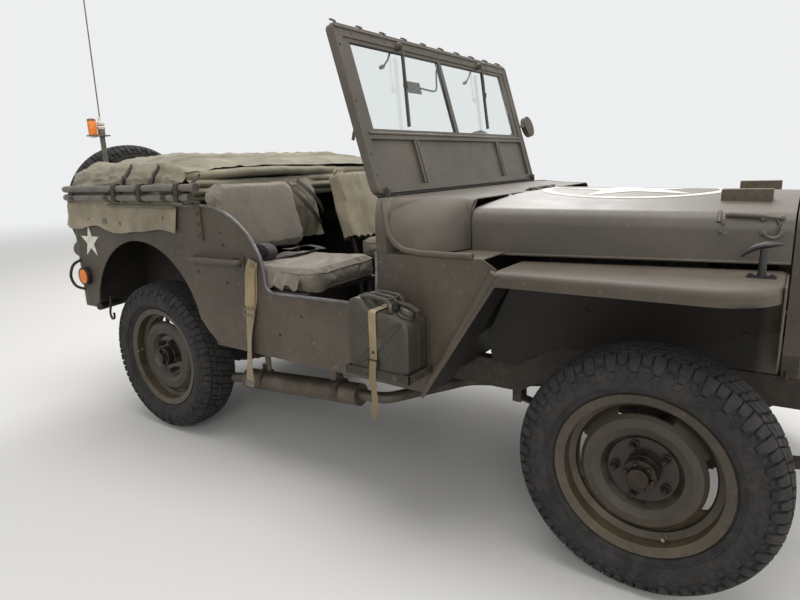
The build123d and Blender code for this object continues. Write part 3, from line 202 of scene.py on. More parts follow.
def clothMaterial(name, base, dark, pale, thread=2.2, stain="6c6048"):
    # woven cotton duck: crossing threads, thread mm apart (drawn coarser than the real 0.6 mm so that
    # they show), faded and stained, with a soft crumple
    surface = material, tree, shader, spot = newMaterial(
        name, {"Roughness": 0.95, "Sheen Weight": 0.25, "Sheen Roughness": 0.6, "Specular IOR Level": 0.2})
    tones, clouds, soft = (
        addNode(tree, "TexNoise", {"Scale": 600 / size, "Detail": detail, "Roughness": rag, "Vector": spot})
        for size, detail, rag in ((120, 6, 0.65), (50, 5, 0.7), (30, 5, 0.6)))
    colour, marks = (addNode(tree, "ValToRGB", {"stops": stops, "Fac": source}) for source, stops in (
        (tones, ((0.3, dark), (0.5, base), (0.72, pale))), (clouds, ((0.56, 0.0), (0.78, 0.55)))))
    # a band of the wave pattern is 0.3142 / scale wide
    threads = [addNode(tree, "TexWave", {"bands_direction": way, "Scale": 0.3142 / (thread * mm), "Distortion": 0.6,
                                         "Vector": spot}, "Fac") for way in ("X", "Y", "Z")]
    crossed = addNode(tree, "Math", {"operation": "ADD", 0: threads[0], 1: threads[1]})
    weave = addNode(tree, "Math", {"operation": "MULTIPLY", 0: crossed, 1: threads[2]})
    shade, crumple = (addNode(tree, "Math", {"operation": "MULTIPLY", 0: source, 1: factor})
                      for source, factor in ((weave, 0.14), (soft, 4.0)))
    for share, over in ((marks, stain), (shade, dark)):
        colour = addNode(tree, "Mix", {"data_type": "RGBA", 0: share, 6: colour, 7: over}, 2)
    return finished(surface, colour, addNode(tree, "Math", {"operation": "ADD", 0: weave, 1: crumple}), 0.7, 0.6)


def plainMaterial(name, first, second, size, metal=0.0, rough=0.6, depth=0.4, spots=None):
    # one finish in two tones with lumps of size mm and a bump of depth mm, and spots of a third tone
    surface = material, tree, shader, spot = newMaterial(name, {"Metallic": metal})
    tones, flecks, dull, grain = (
        addNode(tree, "TexNoise", {"Scale": 600 / across, "Detail": detail, "Roughness": rag, "Vector": spot})
        for across, detail, rag in ((size, 6, 0.65), (size / 3, 5, 0.7), (size / 2, 5, 0.6), (size / 5, 4, 0.6)))
    colour = addNode(tree, "ValToRGB", {"stops": ((0.35, first), (0.65, second)), "Fac": tones})
    if spots:
        marks = addNode(tree, "ValToRGB", {"stops": ((0.52, 0.0), (0.7, 0.9)), "Fac": flecks})
        colour = addNode(tree, "Mix", {"data_type": "RGBA", 0: marks, 6: colour, 7: spots}, 2)
    gloss = addNode(tree, "MapRange", {"To Min": rough - 0.12, "To Max": rough + 0.14, "Value": dull})
    tree.links.new(gloss, shader.inputs["Roughness"])
    return finished(surface, colour, grain, depth, 0.5)


# enamel: base, dark, pale and dust tones, then the dust's top, roughness and wear
bodyPaint = enamel("enamelOliveDrab", "443d32", "373127", "51493c", "6e6355")
fenderPaint = enamel("enamelOnFenders", "443d32", "373127", "51493c", "7a7063")
# painted shade on the inner faces of the fenders and the tub
paintedShadeInside(fenderPaint, "1a1714", 0.741, 0.822, -1.455, 1.350)
paintedShadeInside(bodyPaint, "1d1a16", 0.700, 0.850, -1.455, 1.350)
hoodPaint = enamel("enamelOliveSunned", "514b41", "423d34", "625b4f", "837a6c", 0.5, 0.44, 0.5)  # paler, glossier
shadedChassisPaint = enamel("enamelOnFrameShaded", "2a2620", "1f1c18", "353027", "4f463a", 0.9, 0.72)  # nearly black: painted shade under the body
canPaint = enamel("enamelOnCan", "332f27", "26231d", "3e392f", "574e40", 0.6, 0.5)  # darker, from another maker
wheelTones = ("352f25", "272219", "433c2f", "62563f", 0.6, 0.45)  # greener, browned by brake dust
wheelPaint = enamel("enamelOnWheels", *wheelTones)
frontWheelPaint = greasedAndShaded(enamel("enamelOnFrontWheels", *wheelTones), hubs["front_left"][0], axleHeight)
rearWheelPaint = greasedAndShaded(enamel("enamelOnRearWheels", *wheelTones), hubs["rear_left"][0], axleHeight)
rubber = rubberMaterial()
canvasCloth = clothMaterial("cottonDuckOlive", "837c66", "6b6450", "9b937b")  # proofed, greenish
skirtCloth = clothMaterial("cottonDuckSkirt", "8d826a", "746a54", "aa9e82")  # bleached by the sun
seatCloth = clothMaterial("cottonDuckSeat", "7a7163", "675e52", "8b8275", 2.0)  # greyed by use
coverCloth = clothMaterial("cottonDuckCover", "a89d84", "8b806a", "bcb199", 2.0)  # pale, washed
beltCloth = clothMaterial("cottonWebbingMaroon", "3d3230", "2c2423", "4a3d39", 2.2, "57493f")  # dyed, nearly black
webCloth = clothMaterial("cottonWebbing", "8a7a58", "6d5f42", "a39271", 2.8, "5b4e35")  # tan, coarse
# the others: two tones, lumps in mm, metallic, roughness, bump in mm, and the tone of the spots
greasyIron = plainMaterial("greasyCastIron", "17130f", "30261d", 12, 0.35, 0.42, 1.2, "4d3220")  # wet, rusty
wornSteel = plainMaterial("wornSteel", "6b655a", "8b867c", 10, 0.8, 0.45, 0.2, "5a4634")  # dull shine
muffler = plainMaterial("heatStainedSteel", "4b443b", "6b6257", 50, 0.55, 0.5, 0.6, "5f4630")  # brown bloom
blackPlastic = plainMaterial("blackMouldedRim", "191919", "242423", 20, 0.0, 0.45)  # even soft sheen
leather = plainMaterial("oiledLeather", "1e1813", "33281e", 10, 0.0, 0.55, 0.6)  # dark, finely grained
bowPaint = plainMaterial("enamelOnTube", "4f4d47", "68655c", 30, 0.1, 0.5, 0.3, "7c5a3c")  # grey, rust flecks
castGrey = plainMaterial("paintedCasting", "4c5140", "5d6350", 30, 0.1, 0.7, 1.2, "2a241d")  # sand-cast grain
blockWood = plainMaterial("paintedAsh", "4c4538", "5f5646", 20, 0.0, 0.75, 1.0, "3a2f24")  # paint worn off wood
amberLens = plainMaterial("amberLens", "e0700c", "ef8a1c", 20, 0.0, 0.25, 0.2)  # clean orange plastic
redLens = plainMaterial("redLens", "7a0f0c", "951512", 20, 0.0, 0.25, 0.2)  # clean red glass
wornAndHighlitBead = plainMaterial("enamelWornToSteelAndHighlit", "57514a", "787a80", 35, 0.3, 0.45, 0.3, "4b4335")  # rubbed bright, its pale bluish tone a painted highlight
sealRubber = plainMaterial("sealRubber", "1c1a18", "2a2725", 20, 0.0, 0.8, 0.4)  # dead black, matt
whitePaint = plainMaterial("stencilWhite", "cfcbbf", "e2ded3", 20, 0.0, 0.7, 0.2, "9c9484")  # chalky, dirtied
mirrorSilver = plainMaterial("mirrorSilver", "c8ccd0", "d4d8db", 50, 1.0, 0.14, 0.0)  # bright reflection
clearGlass = newMaterial("windowGlass", {"Base Color": linear("eef4f1"), "Roughness": 0.02, "IOR": 1.45,
                                         "Transmission Weight": 1.0})[0]  # float glass, faint green
lampGlass = newMaterial("lampGlass", {"Base Color": linear("e8ece8"), "Roughness": 0.12, "IOR": 1.45,
                                      "Transmission Weight": 0.75})[0]  # fluted lens, slightly milky
print("materials made")


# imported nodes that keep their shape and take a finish
finishes = (
    (bodyPaint, "body_sides rear_panel cowl dash grille body_fittings seat_frames fuel_tank tub_floor lamps mirror "
                "steering_column"),
    (hoodPaint, "hood windshield_frame windshield_sash"),
    (shadedChassisPaint, "frame front_bumper rear_guards front_axle rear_axle springs shafts knuckle_left knuckle_right "
                   "gearbox radiator"),
    (wheelPaint, "spare_wheel"), (frontWheelPaint, "wheel_front_left wheel_front_right"),
    (rearWheelPaint, "wheel_rear_left wheel_rear_right"), (fenderPaint, "fenders"), (canPaint, "jerrycan"),
    (rubber, "spare_tyre tyre_front_left tyre_front_right tyre_rear_left tyre_rear_right"), (castGrey, "engine"),
    (muffler, "exhaust"), (blockWood, "hood_blocks"), (clearGlass, "windshield_glass"),
    (blackPlastic, "steering_wheel"), (canvasCloth, "top_canvas"), (seatCloth, "cushions"),
    (bowPaint, "top_bows antenna"), (leather, "bow_straps"))
for material, names in finishes:
    for name in names.split():
        nodes[name].data.materials.clear()
        nodes[name].data.materials.append(material)
print("packed nodes dressed")


# stage, light and camera
camera = {"at": (1.4042, -2.1320, 1.1351), "turn": 34.795, "down": 12.955, "roll": -2.147, "lens": 26.44}
turn, down, roll = (radians(camera[k]) for k in ("turn", "down", "roll"))
forward = Vector((-sin(turn) * cos(down), cos(turn) * cos(down), -sin(down)))
level = Vector((cos(turn), sin(turn), 0))
over = level.cross(forward)
right = level * cos(roll) + over * sin(roll)
up = over * cos(roll) - level * sin(roll)
cameraData = bpy.data.cameras.new("camera")
cameraData.lens, cameraData.sensor_width, cameraData.sensor_fit = camera["lens"], 36, "HORIZONTAL"
cameraObject = bpy.data.objects.new("camera", cameraData)
cameraObject.matrix_world = Matrix.Translation(camera["at"]) @ Matrix((right, up, -forward)).transposed().to_4x4()
bpy.context.scene.collection.objects.link(cameraObject)
bpy.context.scene.camera = cameraObject

lamps = (
    # name, place, aimed at, size, watts
    ("skyBehind", (-2.5, 6.0, 5.5), (0, 0, 0.6), 5.0, 430),
    ("windowRight", (3.5, -6.5, 3.6), (0.2, 0, 0.5), 4.0, 135),
    ("windowFront", (7.0, 1.0, 3.6), (0.4, 0, 0.6), 3.5, 110),
    ("overhead", (0.5, -0.5, 6.5), (0, 0, 0.5), 5.0, 240),
)
for name, at, aim, size, watts in lamps:
    lamp = bpy.data.lights.new(name, "AREA")
    lamp.shape, lamp.size, lamp.energy = "DISK", size, watts
    lampObject = bpy.data.objects.new(name, lamp)
    lampObject.location = at
    lampObject.rotation_mode = "QUATERNION"
    lampObject.rotation_quaternion = (Vector(aim) - Vector(at)).to_track_quat("-Z", "Y")
    bpy.context.scene.collection.objects.link(lampObject)

# what the camera, mirrors and glass see of the backdrop is brighter than the light it gives
studio = {"backdrop": "f4f5f6", "bright": 0.94, "dim": 0.52, "floor": "d9d7d3", "fadeFrom": 5.0, "fadeTo": 17.0}
world = bpy.data.worlds.new("studio")
bpy.context.scene.world = world
world.use_nodes = True
worldTree = world.node_tree
seen = addNode(worldTree, "LightPath", {}, "Is Camera Ray")
for ray in ("Is Glossy Ray", "Is Transmission Ray"):
    more = addNode(worldTree, "LightPath", {}, ray)
    seen = addNode(worldTree, "Math", {"operation": "ADD", "use_clamp": True, 0: seen, 1: more})
strength = addNode(worldTree, "MapRange", {"To Min": studio["dim"], "To Max": studio["bright"], "Value": seen})
backdrop = worldTree.nodes["Background"]
worldTree.links.new(strength, backdrop.inputs["Strength"])
backdrop.inputs["Color"].default_value = linear(studio["backdrop"])

bpy.ops.mesh.primitive_plane_add(size=240, location=(0, 0, 0))
floor = bpy.context.object
floor.name = "floor"
floorMaterial, floorTree, floorShader, spot = newMaterial("studioFloor", {"Base Color": linear(studio["floor"]),
                                                                          "Roughness": 0.9})
# far from the car the floor fades into the backdrop, so no horizon shows
away = addNode(floorTree, "VectorMath", {"operation": "LENGTH", 0: spot}, "Value")
fade = addNode(floorTree, "MapRange", {"interpolation_type": "SMOOTHSTEP", "From Min": studio["fadeFrom"],
                                       "From Max": studio["fadeTo"], "Value": away})
glow = addNode(floorTree, "Emission", {"Color": studio["backdrop"], "Strength": studio["bright"]})
faded = addNode(floorTree, "MixShader", {0: fade, 1: floorShader.outputs[0], 2: glow})
floorTree.links.new(faded, floorTree.nodes["Material Output"].inputs["Surface"])
floor.data.materials.append(floorMaterial)
bpy.context.scene.view_settings.view_transform = "Standard"
print("stage, light and camera set")


def meshPiece(name, points, faces, material, body):
    mesh = bpy.data.meshes.new(name)
    mesh.from_pydata(points, [], faces)
    mesh.validate()
    mesh.materials.append(material)
    piece = bpy.data.objects.new(name, mesh)
    bpy.context.scene.collection.objects.link(piece)
    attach(piece, body)
    return piece


def aheads(route):
    # the way a route runs at each of its points
    route = [Vector(p) for p in route]
    return [(route[min(i + 1, len(route) - 1)] - route[max(i - 1, 0)]).normalized() for i in range(len(route))]


class Build:
    # gathers points and faces of many small forms into one piece
    def __init__(self):
        self.points, self.faces = [], []

    def add(self, points, faces):
        start = len(self.points)
        self.points += [Vector(p) for p in points]
        self.faces += [[start + i for i in face] for face in faces]

    def rings(self, rings, closed=True, capped=True):
        # skins between loops of the same count
        count = len(rings[0])
        faces = []
        for r in range(len(rings) - 1):
            for i in range(count if closed else count - 1):
                j = (i + 1) % count
                faces.append([r * count + i, r * count + j, (r + 1) * count + j, (r + 1) * count + i])
        if capped and closed:
            faces.append(list(range(count))[::-1])
            faces.append([(len(rings) - 1) * count + i for i in range(count)])
        self.add([p for ring in rings for p in ring], faces)

    def tube(self, route, radius, sides=8, flat=1.0, out=None):
        # a round or flattened bar along a route of points; out is the flat bar's thin direction
        rings = []
        side = None
        for i, (point, ahead) in enumerate(zip(route, aheads(route))):
            point = Vector(point)
            if out is not None:
                thin = Vector(out)
                thin = (thin - ahead * thin.dot(ahead)).normalized()
                wide = ahead.cross(thin)
            else:
                if side is None:
                    side = ahead.orthogonal()
                side = (side - ahead * side.dot(ahead)).normalized()
                wide, thin = side, ahead.cross(side)
            size = radius[i] if isinstance(radius, (list, tuple)) else radius
            rings.append([point + wide * size * cos(2 * pi * s / sides) + thin * size * flat * sin(2 * pi * s / sides)
                          for s in range(sides)])
        self.rings(rings)

    def wire(self, x0, x1, y, z0, z1, radius):
        # a rectangle of wire facing sideways
        for z in (z0, z1):
            self.tube([(x0, y, z), (x1, y, z)], radius, 8)
        for x in (x0, x1):
            self.tube([(x, y, z0), (x, y, z1)], radius, 8)

    def band(self, route, width, thick, out):
        # a flat strap: out is its thin direction, one for all or one for each point
        rings = []
        for i, (point, ahead) in enumerate(zip(route, aheads(route))):
            point = Vector(point)
            thin = Vector(out[i] if isinstance(out, list) else out)
            thin = (thin - ahead * thin.dot(ahead)).normalized()
            wide = ahead.cross(thin) * width / 2
            thin = thin * thick / 2
            rings.append([point - wide - thin, point + wide - thin, point + wide + thin, point - wide + thin])
        self.rings(rings)

    def box(self, low, high, turn=None, at=None):
        # a plain block, turned about a point
        corners = [(x, y, z) for z in (low[2], high[2]) for x, y in
                   ((low[0], low[1]), (high[0], low[1]), (high[0], high[1]), (low[0], high[1]))]
        if turn is not None:
            corners = [Vector(at) + turn @ (Vector(c) - Vector(at)) for c in corners]
        self.add(corners, [[3, 2, 1, 0], [4, 5, 6, 7], [0, 1, 5, 4], [1, 2, 6, 5], [2, 3, 7, 6], [3, 0, 4, 7]])

    def spin(self, profile, at, axis, steps=24):
        # a turned form: profile rows are (along the axis, radius)
        axis = Vector(axis).normalized()
        side = axis.orthogonal().normalized()
        other = axis.cross(side)
        rings = [[Vector(at) + axis * out + (side * cos(2 * pi * s / steps) + other * sin(2 * pi * s / steps)) * radius
                  for s in range(steps)] for out, radius in profile]
        self.rings(rings)

    def bolt(self, at, axis, across=0.013, head=0.005, sides=6, washer=True):
        axis = Vector(axis).normalized()
        if washer:
            self.spin([(-0.001, across * 0.75), (0.0012, across * 0.75)], at, axis, 14)
        self.spin([(0, across / 2), (head * 0.8, across / 2), (head, across * 0.4)], at, axis, sides)

    def rivet(self, at, axis, radius=0.005):
        self.spin([(-0.001, radius), (radius * 0.25, radius * 0.9), (radius * 0.5, radius * 0.45)], at, axis, 10)

    def piece(self, name, material, body, smooth=False, bevel=0.0, angle=40):
        made = meshPiece(name, self.points, self.faces, material, body)
        if smooth:
            made.data.shade_smooth()
            made.data.set_sharp_from_angle(angle=radians(angle))
        if bevel:
            rounding = made.modifiers.new("edges", "BEVEL")
            rounding.width, rounding.segments, rounding.limit_method = bevel, 2, "ANGLE"
        return made


# tyres: carcass with blocks, side lugs and bead rings
# pitches round the tread, the length in mm that a pitch is drawn at, steps round the carcass
tyre = {"pitches": 34, "drawn": 62, "steps": 96, "sharp": 34}
# carcass half section, (distance from the middle, radius) in mm, crown first
tyreSide = [(0, 325), (24, 324.6), (48, 322), (62, 318), (72, 311), (79, 300), (84, 284), (86, 266), (85, 252),
            (81, 243), (76.5, 241), (76, 237), (73, 236), (70, 231), (66, 227), (60, 225), (57, 203.6)]
tyreArc = [0]
for (y0, r0), (y1, r1) in zip(tyreSide, tyreSide[1:]):
    tyreArc.append(tyreArc[-1] + sqrt((y1 - y0) ** 2 + (r1 - r0) ** 2))


def onTyre(w, s, lift):
    # w is mm from the crown line over the section, s is mm round the tread, lift is mm off the carcass
    reach = min(abs(w), tyreArc[-1] - 0.01)
    k = max(i for i in range(len(tyreArc) - 1) if tyreArc[i] <= reach)
    share = (reach - tyreArc[k]) / (tyreArc[k + 1] - tyreArc[k])
    (y0, r0), (y1, r1) = tyreSide[k], tyreSide[k + 1]
    length = tyreArc[k + 1] - tyreArc[k]
    normal = (-(r1 - r0) / length, (y1 - y0) / length)
    y = y0 + (y1 - y0) * share + normal[0] * lift
    r = r0 + (r1 - r0) * share + normal[1] * lift
    turnBy = s / tyreRadius
    return (r * sin(turnBy) * mm, (y if w >= 0 else -y) * mm, r * cos(turnBy) * mm)


# one pitch of tread: lift, then rows of (w, from, to) in mm round the tread
treadPitch = [
    (9.0, [(1.5, 2, 30), (8, 0, 33), (15, 6, 38), (23, 8, 40), (27, 12, 38)]),
    (9.0, [(1.5, 34, 50), (8, 37, 54), (15, 42, 62), (22, 44, 60)]),
    (8.8, [(30, 16, 44), (36, 12, 46), (44, 15, 50), (50, 20, 52)]),
    (8.8, [(27, 46, 66), (34, 50, 70), (42, 54, 72), (49, 56, 70)]),
    (8.2, [(54, 0, 26), (60, -2, 27), (66, -3, 27), (73, -3, 26), (81, -2, 25), (90, 0, 23), (100, 3, 20)]),
    (8.2, [(54, 31, 56), (60, 31, 57), (66, 31, 57), (73, 31, 56), (79, 33, 54), (84, 36, 51)]),
]
# lower on the sidewall, thinner
sideLugs = [
    (3.4, [(103, 2, 21), (109, 3, 24), (116, 6, 30), (121, 10, 32)]),
    (3.0, [(88, 34, 54), (95, 32, 50), (101, 30, 44)]),
]


def tyreMesh(name):
    build = Build()
    steps = tyre["steps"]
    rings = []
    section = [(-y, r) for y, r in reversed(tyreSide[1:])] + tyreSide
    for y, r in section:
        rings.append([(r * sin(2 * pi * i / steps) * mm, y * mm, r * cos(2 * pi * i / steps) * mm)
                      for i in range(steps)])
    build.rings(rings, True, False)
    pitch = 2 * pi * tyreRadius / tyre["pitches"]
    fit = pitch / tyre["drawn"]
    for n in range(tyre["pitches"]):
        for hand in (1, -1):
            shift = n * pitch + (0 if hand > 0 else pitch * 0.5)
            for lift, rows in treadPitch + sideLugs:
                levels = []
                for rise, inset in ((-1.0, -1.0), (lift - 1.0, 0.3), (lift, 1.3)):
                    ends = {0: inset, len(rows) - 1: -inset}
                    there = [((w + ends.get(k, 0)) * hand, low + inset) for k, (w, low, high) in enumerate(rows)]
                    back = [((w + ends.get(k, 0)) * hand, high - inset) for k, (w, low, high) in enumerate(rows)]
                    levels.append([onTyre(w, shift + hand * s * fit, rise) for w, s in there + back[::-1]])
                build.rings(levels, True, False)
                count = len(rows)
                top = [[k, k + 1, 2 * count - 2 - k, 2 * count - 1 - k] for k in range(count - 1)]
                build.add(levels[-1], top)
    mesh = bpy.data.meshes.new(name)
    mesh.from_pydata(build.points, [], build.faces)
    mesh.validate()
    work = bmesh.new()
    work.from_mesh(mesh)
    bmesh.ops.recalc_face_normals(work, faces=work.faces)
    work.to_mesh(mesh)
    work.free()
    mesh.shade_smooth()
    mesh.set_sharp_from_angle(angle=radians(tyre["sharp"]))
    mesh.materials.append(rubber)
    return mesh


def mountTyre(name, mesh, setting, body, packed):
    treaded = bpy.data.objects.new("treaded_" + name, mesh)
    bpy.context.scene.collection.objects.link(treaded)
    treaded.matrix_world = setting
    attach(treaded, body)
    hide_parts(packed)


tyreForm = tyreMesh("tyreForm")
for n, (x, y, hand) in hubs.items():
    # each tyre is turned a little differently, in its mesh, so that no object's own box is askew
    turned = tyreForm.copy()
    turned.transform(Matrix.Rotation(0.4 + 0.9 * x + y, 4, "Y"))
    mountTyre(n, turned, Matrix.Translation((x, y, axleHeight)), "wheel_" + n, "tyre_" + n)
mountTyre("spare", tyreForm, Matrix.Translation(spareHub) @ Matrix.Rotation(pi / 2, 4, "Z"), "root", "spare_tyre")
print("tyres made:", len(tyreForm.polygons), "faces each")


# wheels: nuts, driving flange, valve and the spare's carrier nuts
# radius of the studs' circle and of the flange's bolt circle, and how far out each sits
wheelTrim = {"nuts": 5, "studCircle": 0.0699, "seat": 0.022, "bolts": 6, "boltCircle": 0.034, "flange": 0.063}


def wheelFittings(name, at, outward, startTurn, driven):
    # everything is built along the wheel's own axis, so the same code serves each wheel
    outward = Vector(outward)
    at = Vector(at)
    side = Vector((0, 0, 1))
    other = outward.cross(side)

    def around(radius, angle, out):
        return at + side * radius * cos(angle) + other * radius * sin(angle) + outward * out

    steel = Build()
    for k in range(wheelTrim["nuts"]):
        spot = around(wheelTrim["studCircle"], startTurn + 2 * pi * k / wheelTrim["nuts"], wheelTrim["seat"])
        steel.spin([(-0.001, 0.015), (0.004, 0.0135), (0.005, 0.0105), (0.016, 0.0105), (0.019, 0.0085)],
                   spot, outward, 6)
        steel.spin([(0.017, 0.006), (0.026, 0.006), (0.0275, 0.0045)], spot, outward, 10)
    steel.piece("nuts_" + name, wheelPaint if not driven else greasyIron, name if driven else "root", True)
    if not driven:
        return
    hub = Build()
    for k in range(wheelTrim["bolts"]):
        spot = around(wheelTrim["boltCircle"], 2 * pi * (k + 0.3) / wheelTrim["bolts"], wheelTrim["flange"])
        hub.bolt(spot, outward, 0.0135, 0.008, 6, False)
    hub.spin([(0.018, 0.0445), (0.03, 0.0445), (0.033, 0.0425)], at, outward, 32)
    hub.spin([(0.05, 0.044), (0.0615, 0.044), (0.064, 0.0425), (0.064, 0.02)], at, outward, 32)
    hub.spin([(0.062, 0.0262), (0.079, 0.0262), (0.0805, 0.024), (0.0805, 0.0)], at, outward, 28)
    hub.spin([(0.08, 0.01), (0.0815, 0.0095), (0.0815, 0.0)], at, outward, 6)
    hub.piece("hubFlange_" + name, greasyIron, name, True, 0.0008)
    valve = Build()
    foot = around(0.176, startTurn + 1.95, 0.044)
    tip = around(0.166, startTurn + 1.95, 0.078)
    valve.tube([foot, foot.lerp(tip, 0.35), foot.lerp(tip, 0.4), foot.lerp(tip, 0.8), foot.lerp(tip, 0.82), tip],
               [0.0062, 0.0055, 0.0038, 0.0038, 0.0052, 0.0048], 10)
    valve.piece("valve_" + name, wornSteel, name, True)


for n, (x, y, hand) in hubs.items():
    wheelFittings("wheel_" + n, (x, y, axleHeight), (0, hand, 0), 0.5 + x, True)
wheelFittings("spare", spareHub, (-1, 0, 0), 0.3, False)
print("wheel fittings made")


# jerrycan: pressed halves with a weld flange, cross recess, three bar handle, cam cap
can = {"x": 0.422, "half": 0.107, "outer": -0.845, "deep": 0.11, "foot": 0.537}
# outline of the can seen from its side: (x from the left edge, height)
canOutline = [(0.0, 0.03), (0.008, 0.01), (0.028, 0.0), (0.186, 0.0), (0.206, 0.01), (0.214, 0.03),
              (0.214, 0.15), (0.21, 0.162), (0.202, 0.168), (0.15, 0.187), (0.132, 0.19), (0.095, 0.191),
              (0.083, 0.195), (0.072, 0.205), (0.056, 0.221), (0.044, 0.228), (0.03, 0.228), (0.012, 0.222),
              (0.003, 0.21), (0.0, 0.196)]
left = can["x"] - can["half"]


def canRing(y, inset):
    ring = []
    count = len(canOutline)
    for i, (u, h) in enumerate(canOutline):
        (u0, h0), (u1, h1) = canOutline[i - 1], canOutline[(i + 1) % count]
        run = Vector((u1 - u0, h1 - h0)).normalized()
        ring.append((left + u - run.y * inset, y, can["foot"] + h + run.x * inset))
    return ring


shell = Build()
outer, inner = can["outer"], can["outer"] + can["deep"]
levels = [(outer, 0.012), (outer + 0.0015, 0.006), (outer + 0.006, 0.001), (outer + 0.012, 0.0),
          (outer + 0.053, 0.0), (outer + 0.0535, -0.0045), (outer + 0.0565, -0.0045), (outer + 0.057, 0.0),
          (inner - 0.012, 0.0), (inner - 0.006, 0.001), (inner - 0.0015, 0.006), (inner, 0.012)]
shell.rings([canRing(y, inset) for y, inset in levels], True, False)
for y, facing in ((outer, 1), (inner, -1)):
    ring = canRing(y, 0.012)
    shell.add(ring, [list(range(len(ring)))[::facing]])
canShell = shell.piece("canShell", canPaint, "root", True, 0.0, 35)
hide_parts("jerrycan")
cross = Build()
middle = Vector((can["x"] + 0.004, outer - 0.0006, can["foot"] + 0.098))
for dx, dz in ((-1, 1), (1, 1), (-1, -1), (1, -1)):
    # each arm is a pair of pressed ridges with a shallow valley between
    end = middle + Vector((dx * 0.082, 0, dz * (0.072 if dz > 0 or dx < 0 else 0.076)))
    start = middle + Vector((dx * 0.02, 0, dz * 0.018))
    across = (end - start).normalized().cross(Vector((0, 1, 0)))
    for side in (-1, 1):
        cross.tube([start + across * side * 0.011, end + across * side * 0.004], [0.0031, 0.0022], 6, 0.7, (0, 1, 0))
    cross.tube([end + across * 0.004, end + (end - start).normalized() * 0.003, end - across * 0.004], 0.0015, 6,
               0.6, (0, 1, 0))
cross.spin([(0, 0.0185), (0.0022, 0.0165), (0.003, 0.01), (0.0032, 0.0)], middle, (0, -1, 0), 28)
cross.piece("canPressings", canPaint, "root", True)
grip = Build()
top = can["foot"] + 0.228
for y in (outer + 0.022, outer + 0.055, outer + 0.088):
    grip.tube([(left + 0.036, y, top - 0.006), (left + 0.052, y, top + 0.002), (left + 0.075, y, top + 0.004),
               (left + 0.128, y, top - 0.001), (left + 0.142, y, top - 0.01), (left + 0.146, y, top - 0.036)],
              0.0066, 12)
grip.box((left + 0.125, outer + 0.016, top - 0.008), (left + 0.138, outer + 0.094, top - 0.001))
spout = Vector((left + 0.178, outer + 0.055, can["foot"] + 0.177))
slope = Vector((0.34, 0, 1)).normalized()
grip.spin([(-0.008, 0.029), (0.006, 0.029), (0.008, 0.026)], spout, slope, 24)
grip.spin([(0.008, 0.0235), (0.022, 0.0245), (0.026, 0.021), (0.027, 0.0)], spout, slope, 24)
grip.band([spout + slope * 0.028 + Vector((-0.038, 0, 0.012)), spout + slope * 0.034, spout + slope * 0.03 +
           Vector((0.03, 0, -0.01)), spout + slope * 0.01 + Vector((0.036, 0, -0.012))], 0.022, 0.004, (0.3, 0, 1))
for side in (-1, 1):
    grip.band([spout + slope * -0.004 + Vector((-0.036, side * 0.014, 0.012)),
               spout + slope * 0.032 + Vector((-0.036, side * 0.014, 0.014))], 0.012, 0.003, (0, 1, 0))
grip.piece("canHandle", canPaint, "root", True, 0.0, 50)
tray = Build()
tray.box((left - 0.006, outer - 0.006, can["foot"] - 0.004), (left + 0.22, outer - 0.003, can["foot"] + 0.02))
for x in (left - 0.006, left + 0.217):
    tray.box((x, outer - 0.006, can["foot"] - 0.004), (x + 0.003, -0.726, can["foot"] + 0.02))
tray.piece("canTrayLip", shadedChassisPaint, "root")
print("jerrycan made")


# webbing: the can's strap over its top, with a buckle in front and a twisted tail
webbing = {"x": 0.412, "width": 0.025, "thick": 0.0022}
x, w = webbing["x"], webbing["width"]
strap = Build()
over = [(x, -0.7265, 0.66), (x, -0.729, 0.74), (x - 0.001, -0.738, 0.756), (x - 0.001, -0.76, 0.7345),
        (x, -0.8, 0.7325), (x, -0.842, 0.7325), (x, -0.8475, 0.728), (x, -0.8482, 0.715), (x, -0.8485, 0.64),
        (x, -0.8492, 0.6), (x + 0.0005, -0.851, 0.572)]
strap.band(over, w, webbing["thick"], [(0, 1, 0)] * 2 + [(0, 0.5, 1), (0, 0.2, 1), (0, 0, 1), (0, -0.4, 1),
                                                         (0, -1, 0.5)] + [(0, -1, 0)] * 4)
tail = [(x, -0.8528, 0.585), (x - 0.001, -0.8548, 0.56), (x - 0.002, -0.856, 0.535), (x - 0.001, -0.855, 0.505),
        (x + 0.002, -0.8535, 0.47), (x - 0.004, -0.852, 0.436), (x - 0.007, -0.85, 0.402)]
strap.band(tail[:4], w * 0.96, webbing["thick"], (0, -1, 0))
twist = [(0, -1, 0), (0.35, -0.93, 0), (0.8, -0.6, 0), (0.95, -0.3, 0)]
strap.band(tail[3:], w * 0.72, webbing["thick"], twist)
canStrapPiece = strap.piece("canStrap", webCloth, "root")
keeper = Build()
keeper.wire(x - w * 0.62, x + w * 0.62, -0.8535, 0.588, 0.566, 0.0019)
keeper.spin([(0, 0.0045), (0.0014, 0.004), (0.0014, 0.002)], (x, -0.85, 0.6105), (0, -1, 0), 16)
keeper.piece("canBuckle", greasyIron, "root", True)
print("webbing on the can made")


# windshield: hooks, wipers, clamps, crank, inner mirror, glass seals
shield = {"pivot": (0.2846, 0, 1.045), "lean": 16.5, "hooks": 10, "firstHook": -0.6, "hookPitch": 0.1333}
leanBack = Matrix.Rotation(-radians(shield["lean"]), 3, "Y")


def onShield(out, y, slant):
    # out is forward off the middle plane, y to the left, slant up the frame
    return Vector(shield["pivot"]) + leanBack @ Vector((out, y, slant))


